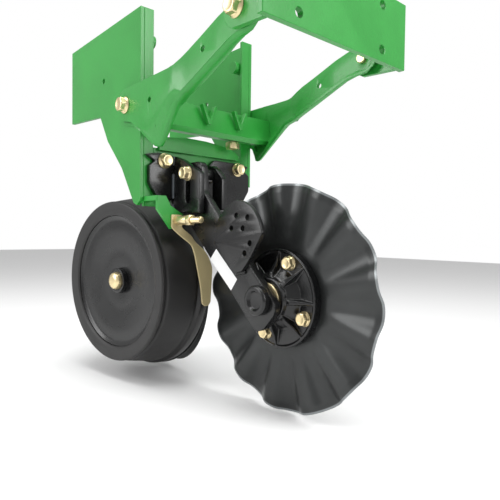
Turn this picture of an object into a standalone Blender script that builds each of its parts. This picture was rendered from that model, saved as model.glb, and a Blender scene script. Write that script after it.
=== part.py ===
"""Front section of a corn planter row unit with a wavy no-till coulter.

Everything is placed from the coulter axle: X forward (the way the planter travels), Y to the
left, Z up. The axle datum is an empty, set back from the toolbar face that the unit hangs from.
"""
import math

import bmesh
import bpy
from mathutils import Matrix, Vector

GAP = 0.0003                 # clearance between touching pieces
STEEL = 0.008                # side plates and arms
HEAVY = 0.0127               # mount plate and its walls, half-inch plate

# Toolbar face, measured from the coulter axle: this is the part's origin.
TOOLBAR_X = 0.130
TOOLBAR_Z = 0.4975

# Coulter: a 17 inch blade with 13 waves, bolted to a four-bolt cast hub.
BLADE_R = 0.2159
BLADE_T = 0.005
BLADE_BORE = 0.030
WAVES = 13
WAVE_HEIGHT = 0.0072
WAVE_PHASE = 1.856
WAVE_SHARPNESS = 1.2
WAVE_START_R = 0.105
HUB_FLANGE_R = 0.0934
HUB_FRONT = 0.0206           # front of the flange, out from the blade's middle plane
HUB_END = 0.0445             # end of the barrel
BARREL_R = 0.040
BEARING_SEAT_R = 0.031
BEARING_BORE_R = 0.016
HUB_BOLT_CIRCLE = 0.0734
HUB_BOLT_ANGLE = math.radians(66.2)
HUB_RIBS = 8

# Coulter arm: 3 inch bar of 5/8 inch plate, sloping down and forward to the spindle.
ARM_FACE = 0.064             # outer face, out from the blade's middle plane
ARM_T = 0.016
SECTOR_T = 0.0095
SPINDLE_HEAD_R = 0.0275
SPINDLE_HEAD_FACE = 0.0791

# Mount: plate bolted to the frame, with two slotted walls that hold the arm's root.
PLATE_FRONT = -0.2645
WALL_FRONT = -0.1675
NEAR_WALL_OUT = 0.0795
FAR_WALL_OUT = 0.0218
CLAMP_X = -0.2095
CLAMP_Z = 0.2445
SLOT_LOW = 0.183
SLOT_HIGH = 0.2555
SLOT_W = 0.0168
BOLT_Y = 0.1015
BOLT_Z = 0.274

# Row unit frame and lower parallel arms.
FRAME_FRONT = PLATE_FRONT - HEAVY - GAP
SIDE_OUT = 0.1535
FRAME_TOP = 0.590
FRAME_BACK = -0.640
ARM_PLANE = 0.160            # middle plane of each parallel arm
REAR_PIVOT = (-0.325, 0.392)
FRONT_PIVOT = (0.058, 0.470)
PIVOT_R = 0.010

# Opener discs and gauge wheel, toed in towards the front.
TOE = math.radians(7.5)
DISC_R = 0.1905
DISC_CENTRE = (-0.430, -0.012)
DISC_OFFSET = 0.0275
WHEEL_R = 0.2030
WHEEL_W = 0.112
WHEEL_CENTRE = (-0.415, -0.045, 0.008)
GAUGE_ARM_LENGTH = 0.228
GAUGE_ARM_DROP = 0.040
GAUGE_ARM_INNER = -0.0163    # arm's inner face beside the disc, out from the tyre's lip plane
GAUGE_ARM_OUTER = 0.008      # its inner face at the wheel end
GAUGE_ARM_T = 0.012
SHANK_HALF = 0.010

ROUND = 40                   # steps round a large turned piece
SMALL = 12                   # steps round a fastener

FINISHES = {
    "green paint": ((0.045, 0.32, 0.065, 1.0), 0.38, 0.0),
    "black paint": ((0.022, 0.023, 0.024, 1.0), 0.35, 0.0),
    "black casting": ((0.018, 0.019, 0.020, 1.0), 0.30, 0.0),
    "blade steel": ((0.07, 0.075, 0.075, 1.0), 0.38, 0.85),
    "yellow zinc": ((0.74, 0.62, 0.36, 1.0), 0.32, 0.9),
    "rubber": ((0.018, 0.018, 0.019, 1.0), 0.62, 0.0),
    "bright steel": ((0.45, 0.46, 0.46, 1.0), 0.34, 1.0),
    "bearing steel": ((0.55, 0.56, 0.57, 1.0), 0.22, 1.0),
}

ALONG_X = (math.pi / 2, 0.0, math.pi / 2)       # local z points forward
OUT_NEAR = (math.pi / 2, 0.0, 0.0)              # local z points out to the near side, -Y
OUT_FAR = (-math.pi / 2, 0.0, 0.0)              # local z points to +Y
TOED_NEAR = (math.pi / 2, 0.0, TOE)
TOED_FAR = (-math.pi / 2, 0.0, -TOE)


def clear_scene():
    for obj in list(bpy.data.objects):
        bpy.data.objects.remove(obj, do_unlink=True)


def new_collection(name):
    collection = bpy.data.collections.new(name)
    bpy.context.scene.collection.children.link(collection)
    return collection


def new_material(name, colour, roughness, metallic):
    material = bpy.data.materials.new(name)
    material.use_nodes = True
    shader = material.node_tree.nodes["Principled BSDF"]
    shader.inputs["Base Color"].default_value = colour
    shader.inputs["Roughness"].default_value = roughness
    shader.inputs["Metallic"].default_value = metallic
    return material


clear_scene()
PARTS = new_collection("corn_planter_row_unit")
CUTTERS = new_collection("cutters")

DATUM = bpy.data.objects.new("coulter_axle_datum", None)
DATUM.location = (-TOOLBAR_X, 0.0, -TOOLBAR_Z)
PARTS.objects.link(DATUM)


def place(obj, finish, location, rotation, collection=None):
    """Put a finished shape on the axle datum, with its own material."""
    (collection or PARTS).objects.link(obj)
    obj.parent = DATUM
    obj.location = location
    obj.rotation_euler = rotation
    if finish:
        obj.data.materials.append(new_material(obj.name + " " + finish, *FINISHES[finish]))
    return obj


def arc(centre, radius, start, end, count):
    """Points along an arc, angles in degrees."""
    points = []
    for step in range(count + 1):
        angle = math.radians(start + (end - start) * step / count)
        points.append((centre[0] + radius * math.cos(angle), centre[1] + radius * math.sin(angle)))
    return points


def ring(centre, radius, count=SMALL):
    return arc(centre, radius, 0.0, 360.0 - 360.0 / count, count - 1)


def long_hole(centre_x, low, high, width, count=6):
    """A vertical slot with round ends."""
    radius = width / 2
    upper = arc((centre_x, high - radius), radius, 0.0, 180.0, count)
    lower = arc((centre_x, low + radius), radius, 180.0, 360.0, count)
    return upper + lower


def outline_mesh(name, outlines, thickness):
    """Flat outlines, the first one outside and the rest holes, as a closed plate."""
    curve = bpy.data.curves.new(name, "CURVE")
    curve.dimensions = "2D"
    curve.fill_mode = "BOTH"
    curve.extrude = thickness / 2
    for outline in outlines:
        spline = curve.splines.new("POLY")
        spline.points.add(len(outline) - 1)
        for point, (x, y) in zip(spline.points, outline):
            point.co = (x, y, 0.0, 1.0)
        spline.use_cyclic_u = True
    flat = bpy.data.objects.new(name, curve)
    bpy.context.scene.collection.objects.link(flat)
    depsgraph = bpy.context.evaluated_depsgraph_get()
    mesh = bpy.data.meshes.new_from_object(flat.evaluated_get(depsgraph))
    bpy.data.objects.remove(flat, do_unlink=True)
    shape = bmesh.new()
    shape.from_mesh(mesh)
    bmesh.ops.remove_doubles(shape, verts=shape.verts, dist=0.00001)
    shape.to_mesh(mesh)
    shape.free()
    mesh.name = name
    return mesh


def plate(name, finish, outlines, thickness, location, rotation, collection=None):
    """A flat plate: its outlines lie in the local x, y plane, its middle plane at location."""
    mesh = outline_mesh(name, outlines, thickness)
    return place(bpy.data.objects.new(name, mesh), finish, location, rotation, collection)


def turned(name, finish, profile, location, rotation, steps=ROUND, closed=False, collection=None):
    """A turned piece: profile points are (radius, height), the outer side running downwards."""
    mesh = bpy.data.meshes.new(name)
    shape = bmesh.new()
    points = [shape.verts.new((radius, 0.0, height)) for radius, height in profile]
    for first, second in zip(points, points[1:]):
        shape.edges.new((first, second))
    if closed:
        shape.edges.new((points[-1], points[0]))
    shape.to_mesh(mesh)
    shape.free()
    obj = place(bpy.data.objects.new(name, mesh), finish, location, rotation, collection)
    screw = obj.modifiers.new("turn", "SCREW")
    screw.axis = "Z"
    screw.steps = steps
    screw.render_steps = steps
    screw.use_merge_vertices = True
    screw.merge_threshold = 0.00001
    return obj


def baked(obj):
    """Apply an object's modifiers, so that its points can be moved."""
    bpy.context.view_layer.update()
    depsgraph = bpy.context.evaluated_depsgraph_get()
    mesh = bpy.data.meshes.new_from_object(obj.evaluated_get(depsgraph))
    obj.modifiers.clear()
    obj.data = mesh
    return obj


def block(name, finish, low, high, collection=None):
    """A box between two corners."""
    mesh = bpy.data.meshes.new(name)
    shape = bmesh.new()
    bmesh.ops.create_cube(shape, size=1.0)
    size = Vector(high) - Vector(low)
    bmesh.ops.scale(shape, vec=size, verts=shape.verts)
    shape.to_mesh(mesh)
    shape.free()
    middle = (Vector(high) + Vector(low)) / 2
    return place(bpy.data.objects.new(name, mesh), finish, middle, (0.0, 0.0, 0.0), collection)


def cut(obj, cutter, operation="DIFFERENCE"):
    """Cut a piece with a hidden shape, or join it on."""
    cutter.hide_render = True
    cutter.display_type = "WIRE"
    boolean = obj.modifiers.new(cutter.name, "BOOLEAN")
    boolean.operation = operation
    boolean.solver = "EXACT"
    boolean.object = cutter


def drill(obj, radius, location, rotation, length, steps=SMALL):
    """Drill a round hole through a piece, centred on location."""
    profile = [(0.0, length / 2), (radius, length / 2), (radius, -length / 2), (0.0, -length / 2)]
    name = obj.name + "_hole_" + str(len(obj.modifiers))
    cut(obj, turned(name, None, profile, location, rotation, steps, collection=CUTTERS))


def make_hexagonal(obj, across_flats, low):
    """Pull the round points above a height in to a hexagon."""
    for vertex in baked(obj).data.vertices:
        radius = math.hypot(vertex.co.x, vertex.co.y)
        if vertex.co.z > low and radius > across_flats * 0.45:
            turn = math.atan2(vertex.co.y, vertex.co.x) % (math.pi / 3) - math.pi / 6
            scale = across_flats / 2 / math.cos(turn) / radius
            vertex.co.x *= scale
            vertex.co.y *= scale
    return obj


def flange_bolt(name, location, rotation, across_flats, shank_r, shank_length, flange_r):
    """A hexagon flange bolt, its flange's seat at location and its head along local z."""
    head = across_flats * 0.62
    flange = across_flats * 0.14
    hex_r = across_flats * 0.52
    profile = [
        (0.0, head), (hex_r * 0.8, head), (hex_r, head * 0.88), (hex_r, flange * 1.4),
        (flange_r, flange), (flange_r, GAP), (shank_r, GAP), (shank_r, -shank_length),
        (0.0, -shank_length),
    ]
    bolt = turned(name, "yellow zinc", profile, location, rotation, SMALL)
    return make_hexagonal(bolt, across_flats, flange * 1.2)


def hex_nut(name, finish, location, rotation, across_flats, bore_r, height):
    """A hexagon nut, its seat at location and its top along local z."""
    hex_r = across_flats * 0.52
    profile = [(hex_r, height), (hex_r, 0.0), (bore_r, 0.0), (bore_r, height)]
    nut = turned(name, finish, profile, location, rotation, SMALL, closed=True)
    return make_hexagonal(nut, across_flats, -height)


def side(half, sign):
    """Y of a plane on the near side (sign -1) or the far side (sign +1)."""
    return sign * half


def toolbar_bracket():
    """Face plate that bolts to the toolbar, and the two lugs that carry the arms' front pivots."""
    plate_t = 0.012
    low = TOOLBAR_Z - 0.0615
    high = TOOLBAR_Z + 0.0625
    face = [(-0.186, low), (0.186, low), (0.186, high), (-0.186, high)]
    bolt_holes = [ring((y, TOOLBAR_Z + z), 0.0085) for y in (-0.110, 0.110) for z in (-0.04, 0.04)]
    plate("toolbar_plate", "green paint", [face] + bolt_holes, plate_t,
          (TOOLBAR_X - plate_t / 2, 0.0, 0.0), ALONG_X)
    front = TOOLBAR_X - plate_t - GAP
    pivot_x, pivot_z = FRONT_PIVOT
    lug = [(front, low), (front, high)] + arc(FRONT_PIVOT, 0.032, 80.0, 250.0, 8)
    for name, sign in (("near", -1), ("far", 1)):
        inner = ARM_PLANE + STEEL / 2 + 0.001
        plate(name + "_toolbar_lug", "green paint", [lug, ring(FRONT_PIVOT, PIVOT_R + GAP)], 0.010,
              (0.0, side(inner + 0.005, sign), 0.0), OUT_NEAR)
        rotation = OUT_NEAR if sign < 0 else OUT_FAR
        flange_bolt(name + "_front_pivot_bolt", (pivot_x, side(inner + 0.010, sign), pivot_z),
                    rotation, 0.027, PIVOT_R, 0.032, 0.018)


def lower_arms():
    """Two formed side arms, each with a tapering lower flange, and the cross member between."""
    rear_x, rear_z = REAR_PIVOT
    tip = (-0.222, 0.304)
    heel = (-0.250, 0.322)
    knee = (-0.150, 0.371)
    outline = (
        arc(REAR_PIVOT, 0.036, 95.0, 255.0, 8)
        + [heel, tip, knee]
        + arc(FRONT_PIVOT, 0.026, -68.0, 112.0, 8)
        + [(-0.015, 0.476), (-0.140, 0.429)]
    )
    holes = [
        ring(REAR_PIVOT, PIVOT_R + GAP),
        ring(FRONT_PIVOT, PIVOT_R + GAP),
        ring((-0.221, 0.382), 0.006),
        ring((-0.053, 0.440), 0.006),
    ]
    for name, sign in (("near", -1), ("far", 1)):
        arm = plate(name + "_lower_arm", "green paint", [outline] + holes, STEEL,
                    (0.0, side(ARM_PLANE, sign), 0.0), OUT_NEAR)
        # The lower flange is turned inwards along the edge from the tip to the front end.
        inner = side(ARM_PLANE - 0.021, sign)
        outer = side(ARM_PLANE, sign)
        narrow = side(ARM_PLANE - 0.012, sign)
        flange_length = 0.200
        flange_rise = math.atan2(knee[1] - tip[1], knee[0] - tip[0])
        web = [(0.0, outer), (0.0, inner), (0.060, inner), (0.098, narrow), (0.098, outer)]
        lower = plate(name + "_tip_flange", None, [web], 0.006, (tip[0], 0.0, tip[1] + 0.0045),
                      (0.0, -flange_rise, 0.0), CUTTERS)
        cut(arm, lower, "UNION")
        front_rise = math.atan2(0.098, 0.250)
        strip = [(0.0, outer), (0.0, narrow), (flange_length, narrow), (flange_length, outer)]
        upper = plate(name + "_edge_flange", None, [strip], 0.006,
                      (knee[0] - 0.004, 0.0, knee[1] + 0.0032), (0.0, -front_rise, 0.0), CUTTERS)
        cut(arm, upper, "UNION")
        side_out = side(ARM_PLANE + STEEL / 2, sign)
        rotation = OUT_NEAR if sign < 0 else OUT_FAR
        flange_bolt(name + "_rear_pivot_bolt", (rear_x, side_out, rear_z), rotation,
                    0.027, PIVOT_R, 0.030, 0.018)
    cross_member()


def cross_member():
    """Channel folded from plate: an upright front web and a lip turned back along its foot."""
    half = ARM_PLANE - STEEL / 2 - GAP
    front = [(-0.262, 0.338), (-0.214, 0.331), (-0.206, 0.340), (-0.214, 0.391), (-0.220, 0.391),
             (-0.213, 0.343), (-0.216, 0.338), (-0.262, 0.344)]
    plate("arm_cross_member", "green paint", [front], 2 * half, (0.0, 0.0, 0.0), OUT_NEAR)
    for name, middle in (("near_spring_lug", -0.034), ("far_spring_lug", 0.052)):
        vee = [(-0.020, 0.392), (-0.003, 0.352), (0.003, 0.352), (0.020, 0.392),
               (0.014, 0.392), (0.0, 0.361), (-0.014, 0.392)]
        plate(name, "green paint", [vee], 0.012, (-0.2005, middle, -0.0005), ALONG_X)
    hex_nut("spring_anchor_nut", "yellow zinc", (-0.240, 0.065, 0.3164), (0.0, 0.0, 0.0), 0.028,
            0.008, 0.016)


def frame():
    """Row unit frame: two side plates, front flanges, web, rail and the centre shank."""
    near = [(FRAME_FRONT, FRAME_TOP), (FRAME_FRONT, 0.188), (-0.292, 0.178), (-0.305, 0.183),
            (-0.360, 0.262), (-0.430, 0.330), (-0.470, 0.392), (FRAME_BACK, 0.402),
            (FRAME_BACK, FRAME_TOP - 0.004)]
    far = [(FRAME_FRONT, FRAME_TOP), (FRAME_FRONT, 0.236), (-0.320, 0.240), (-0.360, 0.290),
           (-0.430, 0.380), (-0.470, 0.392), (FRAME_BACK, 0.402), (FRAME_BACK, FRAME_TOP - 0.004)]
    for name, sign, outline in (("near", -1, near), ("far", 1, far)):
        holes = [ring(REAR_PIVOT, PIVOT_R + GAP), ring((-0.452, 0.473), 0.0065)]
        side_plate = plate(name + "_side_plate", "green paint", [outline] + holes, STEEL,
                           (0.0, side(SIDE_OUT - STEEL / 2, sign), 0.0), OUT_NEAR)
        boss = [(0.0, 0.0380), (0.0140, 0.0380), (0.0140, 0.0), (0.0, 0.0)]
        inwards = OUT_FAR if sign < 0 else OUT_NEAR
        cut(side_plate, turned(name + "_upper_pivot_boss", None, boss,
                               (-0.300, side(SIDE_OUT - STEEL / 2, sign), 0.530), inwards, 24,
                               collection=CUTTERS), "UNION")
        inner = 0.1225
        outer = SIDE_OUT - STEEL - GAP
        if sign < 0:
            foot = [(-inner, 0.200), (-0.105, 0.190), (-0.105, 0.176), (-outer, 0.176)]
        else:
            foot = [(inner, 0.240), (outer, 0.240)]
        flange = foot + [(side(outer, sign), FRAME_TOP), (side(inner, sign), FRAME_TOP)]
        plate(name + "_front_flange", "green paint", [flange], STEEL,
              (FRAME_FRONT - STEEL / 2, 0.0, 0.0), ALONG_X)
    web_half = 0.1220
    web = [(-web_half, 0.205), (web_half, 0.238), (web_half, 0.302), (-web_half, 0.302)]
    holes = [ring((y, BOLT_Z), 0.0083) for y in (-BOLT_Y, BOLT_Y)]
    plate("front_web", "green paint", [web] + holes, STEEL, (FRAME_FRONT - STEEL / 2, 0.0, 0.0),
          ALONG_X)
    rail = [(-0.113, 0.296), (0.106, 0.296), (0.108, 0.307), (0.094, 0.316), (0.060, 0.325),
            (0.010, 0.330), (-0.045, 0.331), (-0.113, 0.324)]
    plate("front_rail", "green paint", [rail], 0.010, (FRAME_FRONT + 0.0053, 0.0, 0.0), ALONG_X)
    shank_front = FRAME_FRONT - STEEL - GAP
    shank = (
        [(shank_front, 0.300), (shank_front, 0.182), (-0.330, 0.110), (-0.360, 0.000)]
        + arc((-0.430, -0.012), 0.045, 215.0, 325.0, 6)[::-1]
        + [(-0.500, -0.010), (-0.630, 0.014), (-0.668, 0.030), (-0.672, 0.070), (-0.640, 0.090),
           (-0.560, 0.130), (-0.500, 0.235), (-0.440, 0.285), (-0.380, 0.300)]
    )
    plate("shank", "green paint", [shank], 2 * SHANK_HALF, (0.0, 0.0, 0.0), OUT_NEAR)


def coulter_mount():
    """Bolt-on plate with two slotted walls welded to it."""
    half = 0.138
    outline = [
        (-0.100, 0.165), (0.100, 0.165), (half, 0.225), (half, 0.262), (0.124, 0.270),
        (half - 0.004, 0.284), (0.108, 0.288), (0.030, 0.290), (0.004, 0.262), (-0.018, 0.250),
        (-0.066, 0.250), (-0.080, 0.287), (-0.118, 0.290), (-half - 0.008, 0.284),
        (-0.124, 0.272), (-half, 0.262), (-half, 0.225),
    ]
    holes = [ring((y, BOLT_Z), 0.0083) for y in (-BOLT_Y, BOLT_Y)] + [ring((-0.083, 0.183), 0.008)]
    plate("mount_plate", "black paint", [outline] + holes, HEAVY,
          (PLATE_FRONT - HEAVY / 2, 0.0, 0.0), ALONG_X)
    root = PLATE_FRONT + GAP
    near = [(root, 0.165), (WALL_FRONT, 0.161), (WALL_FRONT, 0.243), (-0.173, 0.247),
            (-0.232, 0.276), (root, 0.286)]
    far = [(root, 0.168), (WALL_FRONT, 0.168), (WALL_FRONT, 0.236), (-0.190, 0.258), (-0.205, 0.266),
           (root, 0.270)]
    slot = long_hole(CLAMP_X, SLOT_LOW, SLOT_HIGH, SLOT_W)
    for name, wall, wall_out in (("near", near, NEAR_WALL_OUT), ("far", far, FAR_WALL_OUT)):
        middle = -wall_out + HEAVY / 2
        plate(name + "_mount_wall", "black paint", [wall, slot], HEAVY, (0.0, middle, 0.0), OUT_NEAR)
    for name, y in (("near", -BOLT_Y), ("far", BOLT_Y)):
        flange_bolt(name + "_mount_bolt", (PLATE_FRONT, y, BOLT_Z), ALONG_X, 0.0238, 0.008, 0.030,
                    0.0163)


def arm_outline():
    """The coulter arm: an upright root between the walls, then a straight bar to the spindle."""
    slope = math.radians(-43.1)
    along = Vector((math.cos(slope), math.sin(slope)))
    across = Vector((-along.y, along.x))
    axle = Vector((0.0, -0.002))
    middle = axle - across * 0.0118
    half = 0.0381
    end_radius = 0.030
    low_corner = middle + along * 0.041 - across * half
    high_corner = middle + along * 0.041 + across * half
    points = []
    for corner, start in ((low_corner, -90.0), (high_corner, 0.0)):
        inward = across if start < 0 else -across
        centre = corner - along * end_radius + inward * end_radius
        for step in range(5):
            turn = math.radians(start + 90.0 * step / 4)
            offset = along * math.cos(turn) + across * math.sin(turn)
            points.append(tuple(centre + offset * end_radius))
    lower = middle - along * 0.268 - across * half
    upper = middle - along * 0.150 + across * half
    back = PLATE_FRONT + 0.002
    return points + [tuple(upper), (-0.176, 0.205), (-0.183, 0.262), (-0.192, 0.270),
                     (back, 0.270), (back, 0.176), tuple(lower)]


def coulter_arm():
    """Arm bar, welded sector plate, clamp bolt through the walls' slots and the spindle."""
    arm = plate("coulter_arm", "black paint", [arm_outline(), ring((CLAMP_X, CLAMP_Z), 0.0083)],
                ARM_T, (0.0, -ARM_FACE + ARM_T / 2, 0.0), OUT_NEAR)
    drill(arm, 0.0165, (0.0, -ARM_FACE + ARM_T / 2, 0.0), OUT_NEAR, 2 * ARM_T, 24)
    sector = (
        [(-0.112, 0.150), (-0.086, 0.172)]
        + arc((-0.062, 0.107), 0.076, 92.0, 24.0, 7)
        + [(0.015, 0.123), (0.005, 0.109), (-0.019, 0.074), (-0.041, 0.050), (-0.064, 0.046),
           (-0.128, 0.103)]
    )
    holes = [(-0.058, 0.154), (-0.026, 0.150), (-0.072, 0.130), (-0.039, 0.130), (-0.019, 0.103),
             (-0.033, 0.084)]
    plate("sector_plate", "black paint", [sector] + [ring(hole, 0.0055, 8) for hole in holes],
          SECTOR_T, (0.0, -ARM_FACE - GAP - SECTOR_T / 2, 0.0), OUT_NEAR)
    flange_bolt("clamp_bolt", (CLAMP_X, -NEAR_WALL_OUT, CLAMP_Z), OUT_NEAR, 0.0238, 0.008, 0.084,
                0.0155)
    inner = -ARM_FACE + ARM_T + GAP
    spacer_length = -FAR_WALL_OUT - GAP - inner
    spacer = [(0.0145, spacer_length), (0.0145, 0.0), (0.0084, 0.0), (0.0084, spacer_length)]
    turned("clamp_spacer", "black paint", spacer, (CLAMP_X, inner, CLAMP_Z), OUT_FAR, 16, True)
    hex_nut("clamp_nut", "yellow zinc", (CLAMP_X, -FAR_WALL_OUT + HEAVY + GAP, CLAMP_Z), OUT_FAR,
            0.0238, 0.0084, 0.014)
    spindle()


def spindle():
    """Stub axle: a round head on the arm's outer face, then steps down to its nut thread."""
    head = SPINDLE_HEAD_FACE
    seat = ARM_FACE + GAP
    collar = ARM_FACE - ARM_T
    profile = [
        (0.0, head - 0.005), (0.0155, head - 0.005), (0.0185, head), (SPINDLE_HEAD_R - 0.003, head),
        (SPINDLE_HEAD_R, head - 0.003), (SPINDLE_HEAD_R, seat), (0.0162, seat),
        (0.0162, collar - 0.004), (BEARING_BORE_R - GAP, collar - 0.004),
        (BEARING_BORE_R - GAP, -0.012), (0.0098, -0.012), (0.0098, -0.030), (0.0, -0.030),
    ]
    turned("coulter_spindle", "black paint", profile, (0.0, 0.0, 0.0), OUT_NEAR, 32)
    washer = [(0.031, collar - GAP), (0.031, HUB_END + GAP), (0.0166, HUB_END + GAP),
              (0.0166, collar - GAP)]
    turned("spindle_collar", "yellow zinc", washer, (0.0, 0.0, 0.0), OUT_NEAR, 32, True)
    hex_nut("spindle_nut", "bright steel", (0.0, 0.0125, 0.0), OUT_FAR, 0.030, 0.0102, 0.012)


def coulter_hub():
    """Cast hub with eight gusset ribs, its two taper bearings, seal and dust cap."""
    back = BLADE_T / 2 + GAP
    seat = BEARING_SEAT_R
    profile = [
        (BARREL_R, HUB_END), (BARREL_R + 0.002, HUB_END - 0.010), (0.050, 0.0260),
        (0.058, 0.0170), (0.0875, 0.0170), (0.0886, HUB_FRONT), (HUB_FLANGE_R - 0.001, HUB_FRONT),
        (HUB_FLANGE_R, HUB_FRONT - 0.002), (HUB_FLANGE_R, back), (0.0292, back),
        (0.0292, -0.010), (seat - 0.004, -0.010), (seat - 0.004, 0.004), (seat - 0.006, 0.006),
        (seat - 0.006, 0.022), (seat, 0.024), (seat, HUB_END),
    ]
    hub = turned("coulter_hub", "black casting", profile, (0.0, 0.0, 0.0), OUT_NEAR, 48, True)
    baked(hub)
    for index in range(HUB_RIBS):
        turn = HUB_BOLT_ANGLE + math.radians(22.5 + 360.0 / HUB_RIBS * index)
        rib = [(0.036, 0.014), (0.090, 0.014), (0.090, 0.0198), (0.048, 0.0385), (0.036, 0.0385)]
        name = "hub_rib_" + str(index + 1)
        gusset = plate(name, None, [rib], 0.0075, (0.0, 0.0, 0.0), (0.0, -turn, 0.0), CUTTERS)
        gusset.data.transform(Matrix.Rotation(math.pi, 4, "X"))
        cut(hub, gusset, "UNION")
    for index in range(4):
        turn = HUB_BOLT_ANGLE + math.pi / 2 * index
        centre = (HUB_BOLT_CIRCLE * math.cos(turn), 0.0, HUB_BOLT_CIRCLE * math.sin(turn))
        drill(hub, 0.0068, centre, OUT_NEAR, 0.080)
    bearing = [(seat - GAP, 0.043), (seat - GAP, 0.0255), (BEARING_BORE_R, 0.0255),
               (BEARING_BORE_R, 0.0420)]
    turned("arm_side_bearing", "bearing steel", bearing, (0.0, 0.0, 0.0), OUT_NEAR, 24, True)
    bearing = [(seat - 0.0043, 0.0038), (seat - 0.0043, -0.0098), (BEARING_BORE_R, -0.0098),
               (BEARING_BORE_R, 0.0038)]
    turned("cap_side_bearing", "bearing steel", bearing, (0.0, 0.0, 0.0), OUT_NEAR, 24, True)
    cap = [(0.0, 0.040), (0.020, 0.040), (0.0262, 0.034), (0.0268, 0.0103)]
    wall = [(0.0250, 0.0103), (0.0245, 0.033), (0.0190, 0.0382), (0.0, 0.0382)]
    turned("hub_cap", "black casting", cap + wall, (0.0, 0.0, 0.0), OUT_FAR, 24)


def wave_height(radius, turn):
    """How far the blade's middle surface is bent out at a place on it."""
    growth = min(max((radius - WAVE_START_R) / (BLADE_R - WAVE_START_R), 0.0), 1.0)
    wave = math.sin(WAVES * turn + WAVE_PHASE)
    shaped = math.tanh(WAVE_SHARPNESS * wave) / math.tanh(WAVE_SHARPNESS)
    return WAVE_HEIGHT * growth ** 0.9 * shaped


def coulter_blade():
    """Pressed blade: flat at the hub, waves growing to the bevelled rim, and its clamp ring."""
    half = BLADE_T / 2
    radii = [BLADE_BORE, 0.060, WAVE_START_R, 0.140, 0.175, 0.200]
    top = [(radius, half) for radius in radii]
    rim = [(BLADE_R - 0.0005, 0.0009), (BLADE_R - 0.0005, -0.0009)]
    bottom = [(radius, -half) for radius in reversed(radii)]
    blade = turned("coulter_blade", "blade steel", top + rim + bottom, (0.0, 0.0, 0.0), OUT_NEAR,
                   WAVES * 8, True)
    for vertex in baked(blade).data.vertices:
        radius = math.hypot(vertex.co.x, vertex.co.y)
        vertex.co.z -= wave_height(radius, math.atan2(vertex.co.y, vertex.co.x))
    ring_back = -BLADE_T / 2 - GAP
    clamp = [(0.0900, ring_back), (0.0900, ring_back - 0.008), (0.0300, ring_back - 0.008),
             (0.0300, ring_back)]
    clamp_ring = turned("blade_clamp_ring", "black paint", clamp, (0.0, 0.0, 0.0), OUT_NEAR, 32, True)
    for index in range(4):
        turn = HUB_BOLT_ANGLE + math.pi / 2 * index
        centre = (HUB_BOLT_CIRCLE * math.cos(turn), 0.0, HUB_BOLT_CIRCLE * math.sin(turn))
        drill(blade, 0.0068, centre, OUT_NEAR, 0.020)
        drill(clamp_ring, 0.0068, centre, OUT_NEAR, 0.060)
        seat = (centre[0], -0.0171, centre[2])
        flange_bolt("hub_bolt_" + str(index + 1), seat, OUT_NEAR, 0.0215, 0.0064, 0.030, 0.0138)


def opener(name, sign):
    """One opener disc with its riveted hub, on a spindle that stands out of the shank."""
    rotation = TOED_NEAR if sign < 0 else TOED_FAR
    centre = (DISC_CENTRE[0], side(DISC_OFFSET, sign), DISC_CENTRE[1])
    disc = [(0.034, 0.024), (0.040, 0.021), (0.042, 0.006), (0.058, 0.0045), (0.062, 0.00175),
            (0.181, 0.00175), (DISC_R, 0.0002), (DISC_R, -0.0008), (0.181, -0.00175),
            (0.022, -0.00175), (0.022, 0.024)]
    turned(name + "_opener_disc", "blade steel", disc, centre, rotation, 48, True)
    stub = [(0.0, 0.0255), (0.018, 0.0255), (0.0217, 0.0230), (0.0217, -0.030), (0.0, -0.030)]
    spindle_end = turned(name + "_disc_spindle", "bright steel", stub, centre, rotation, 20)
    trim_to_shank(spindle_end, centre, sign)


def trim_to_shank(obj, centre, sign):
    """Cut a toed-in pin off flush with the shank's face."""
    across = sorted((side(SHANK_HALF + GAP, sign), side(0.100, -sign)))
    low = (centre[0] - 0.060, across[0], centre[2] - 0.060)
    high = (centre[0] + 0.060, across[1], centre[2] + 0.060)
    cut(obj, block(obj.name + "_trim", None, low, high, CUTTERS))


def gauge_wheel():
    """Gauge wheel: thick rubber tyre, dished rim, hub and dust cap."""
    tyre = [(0.1790, WHEEL_W), (0.1820, 0.109), (0.1820, 0.106), (0.1770, 0.104), (0.1770, 0.101),
            (0.1830, 0.098), (0.1870, 0.080), (0.1920, 0.055), (0.1965, 0.032), (0.1955, 0.026),
            (0.1985, 0.023), (WHEEL_R, 0.020), (WHEEL_R, 0.008), (0.2020, 0.001), (0.1960, 0.0),
            (0.1500, 0.004), (0.1500, 0.106), (0.1560, 0.1105)]
    turned("gauge_tyre", "rubber", tyre, WHEEL_CENTRE, TOED_NEAR, 48, True)
    rim = [(0.1497, 0.104), (0.1497, 0.006), (0.1465, 0.006), (0.1465, 0.096), (0.1200, 0.094),
           (0.0700, 0.086), (0.0290, 0.084), (0.0290, 0.088), (0.0690, 0.090), (0.1190, 0.098)]
    turned("gauge_rim", "black paint", rim, WHEEL_CENTRE, TOED_NEAR, 48, True)
    hub = [(0.0285, 0.100), (0.0285, 0.0835), (0.048, 0.0835), (0.050, 0.0815), (0.050, 0.0785),
           (0.034, 0.0775), (0.031, 0.040), (0.0205, 0.040), (0.0205, 0.100)]
    turned("gauge_hub", "black casting", hub, WHEEL_CENTRE, TOED_NEAR, 24, True)
    cap = [(0.0, 0.112), (0.014, 0.112), (0.0202, 0.108), (0.0202, 0.092), (0.0, 0.092)]
    turned("gauge_cap", "yellow zinc", cap, WHEEL_CENTRE, TOED_NEAR, 24)
    gauge_arm()


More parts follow.
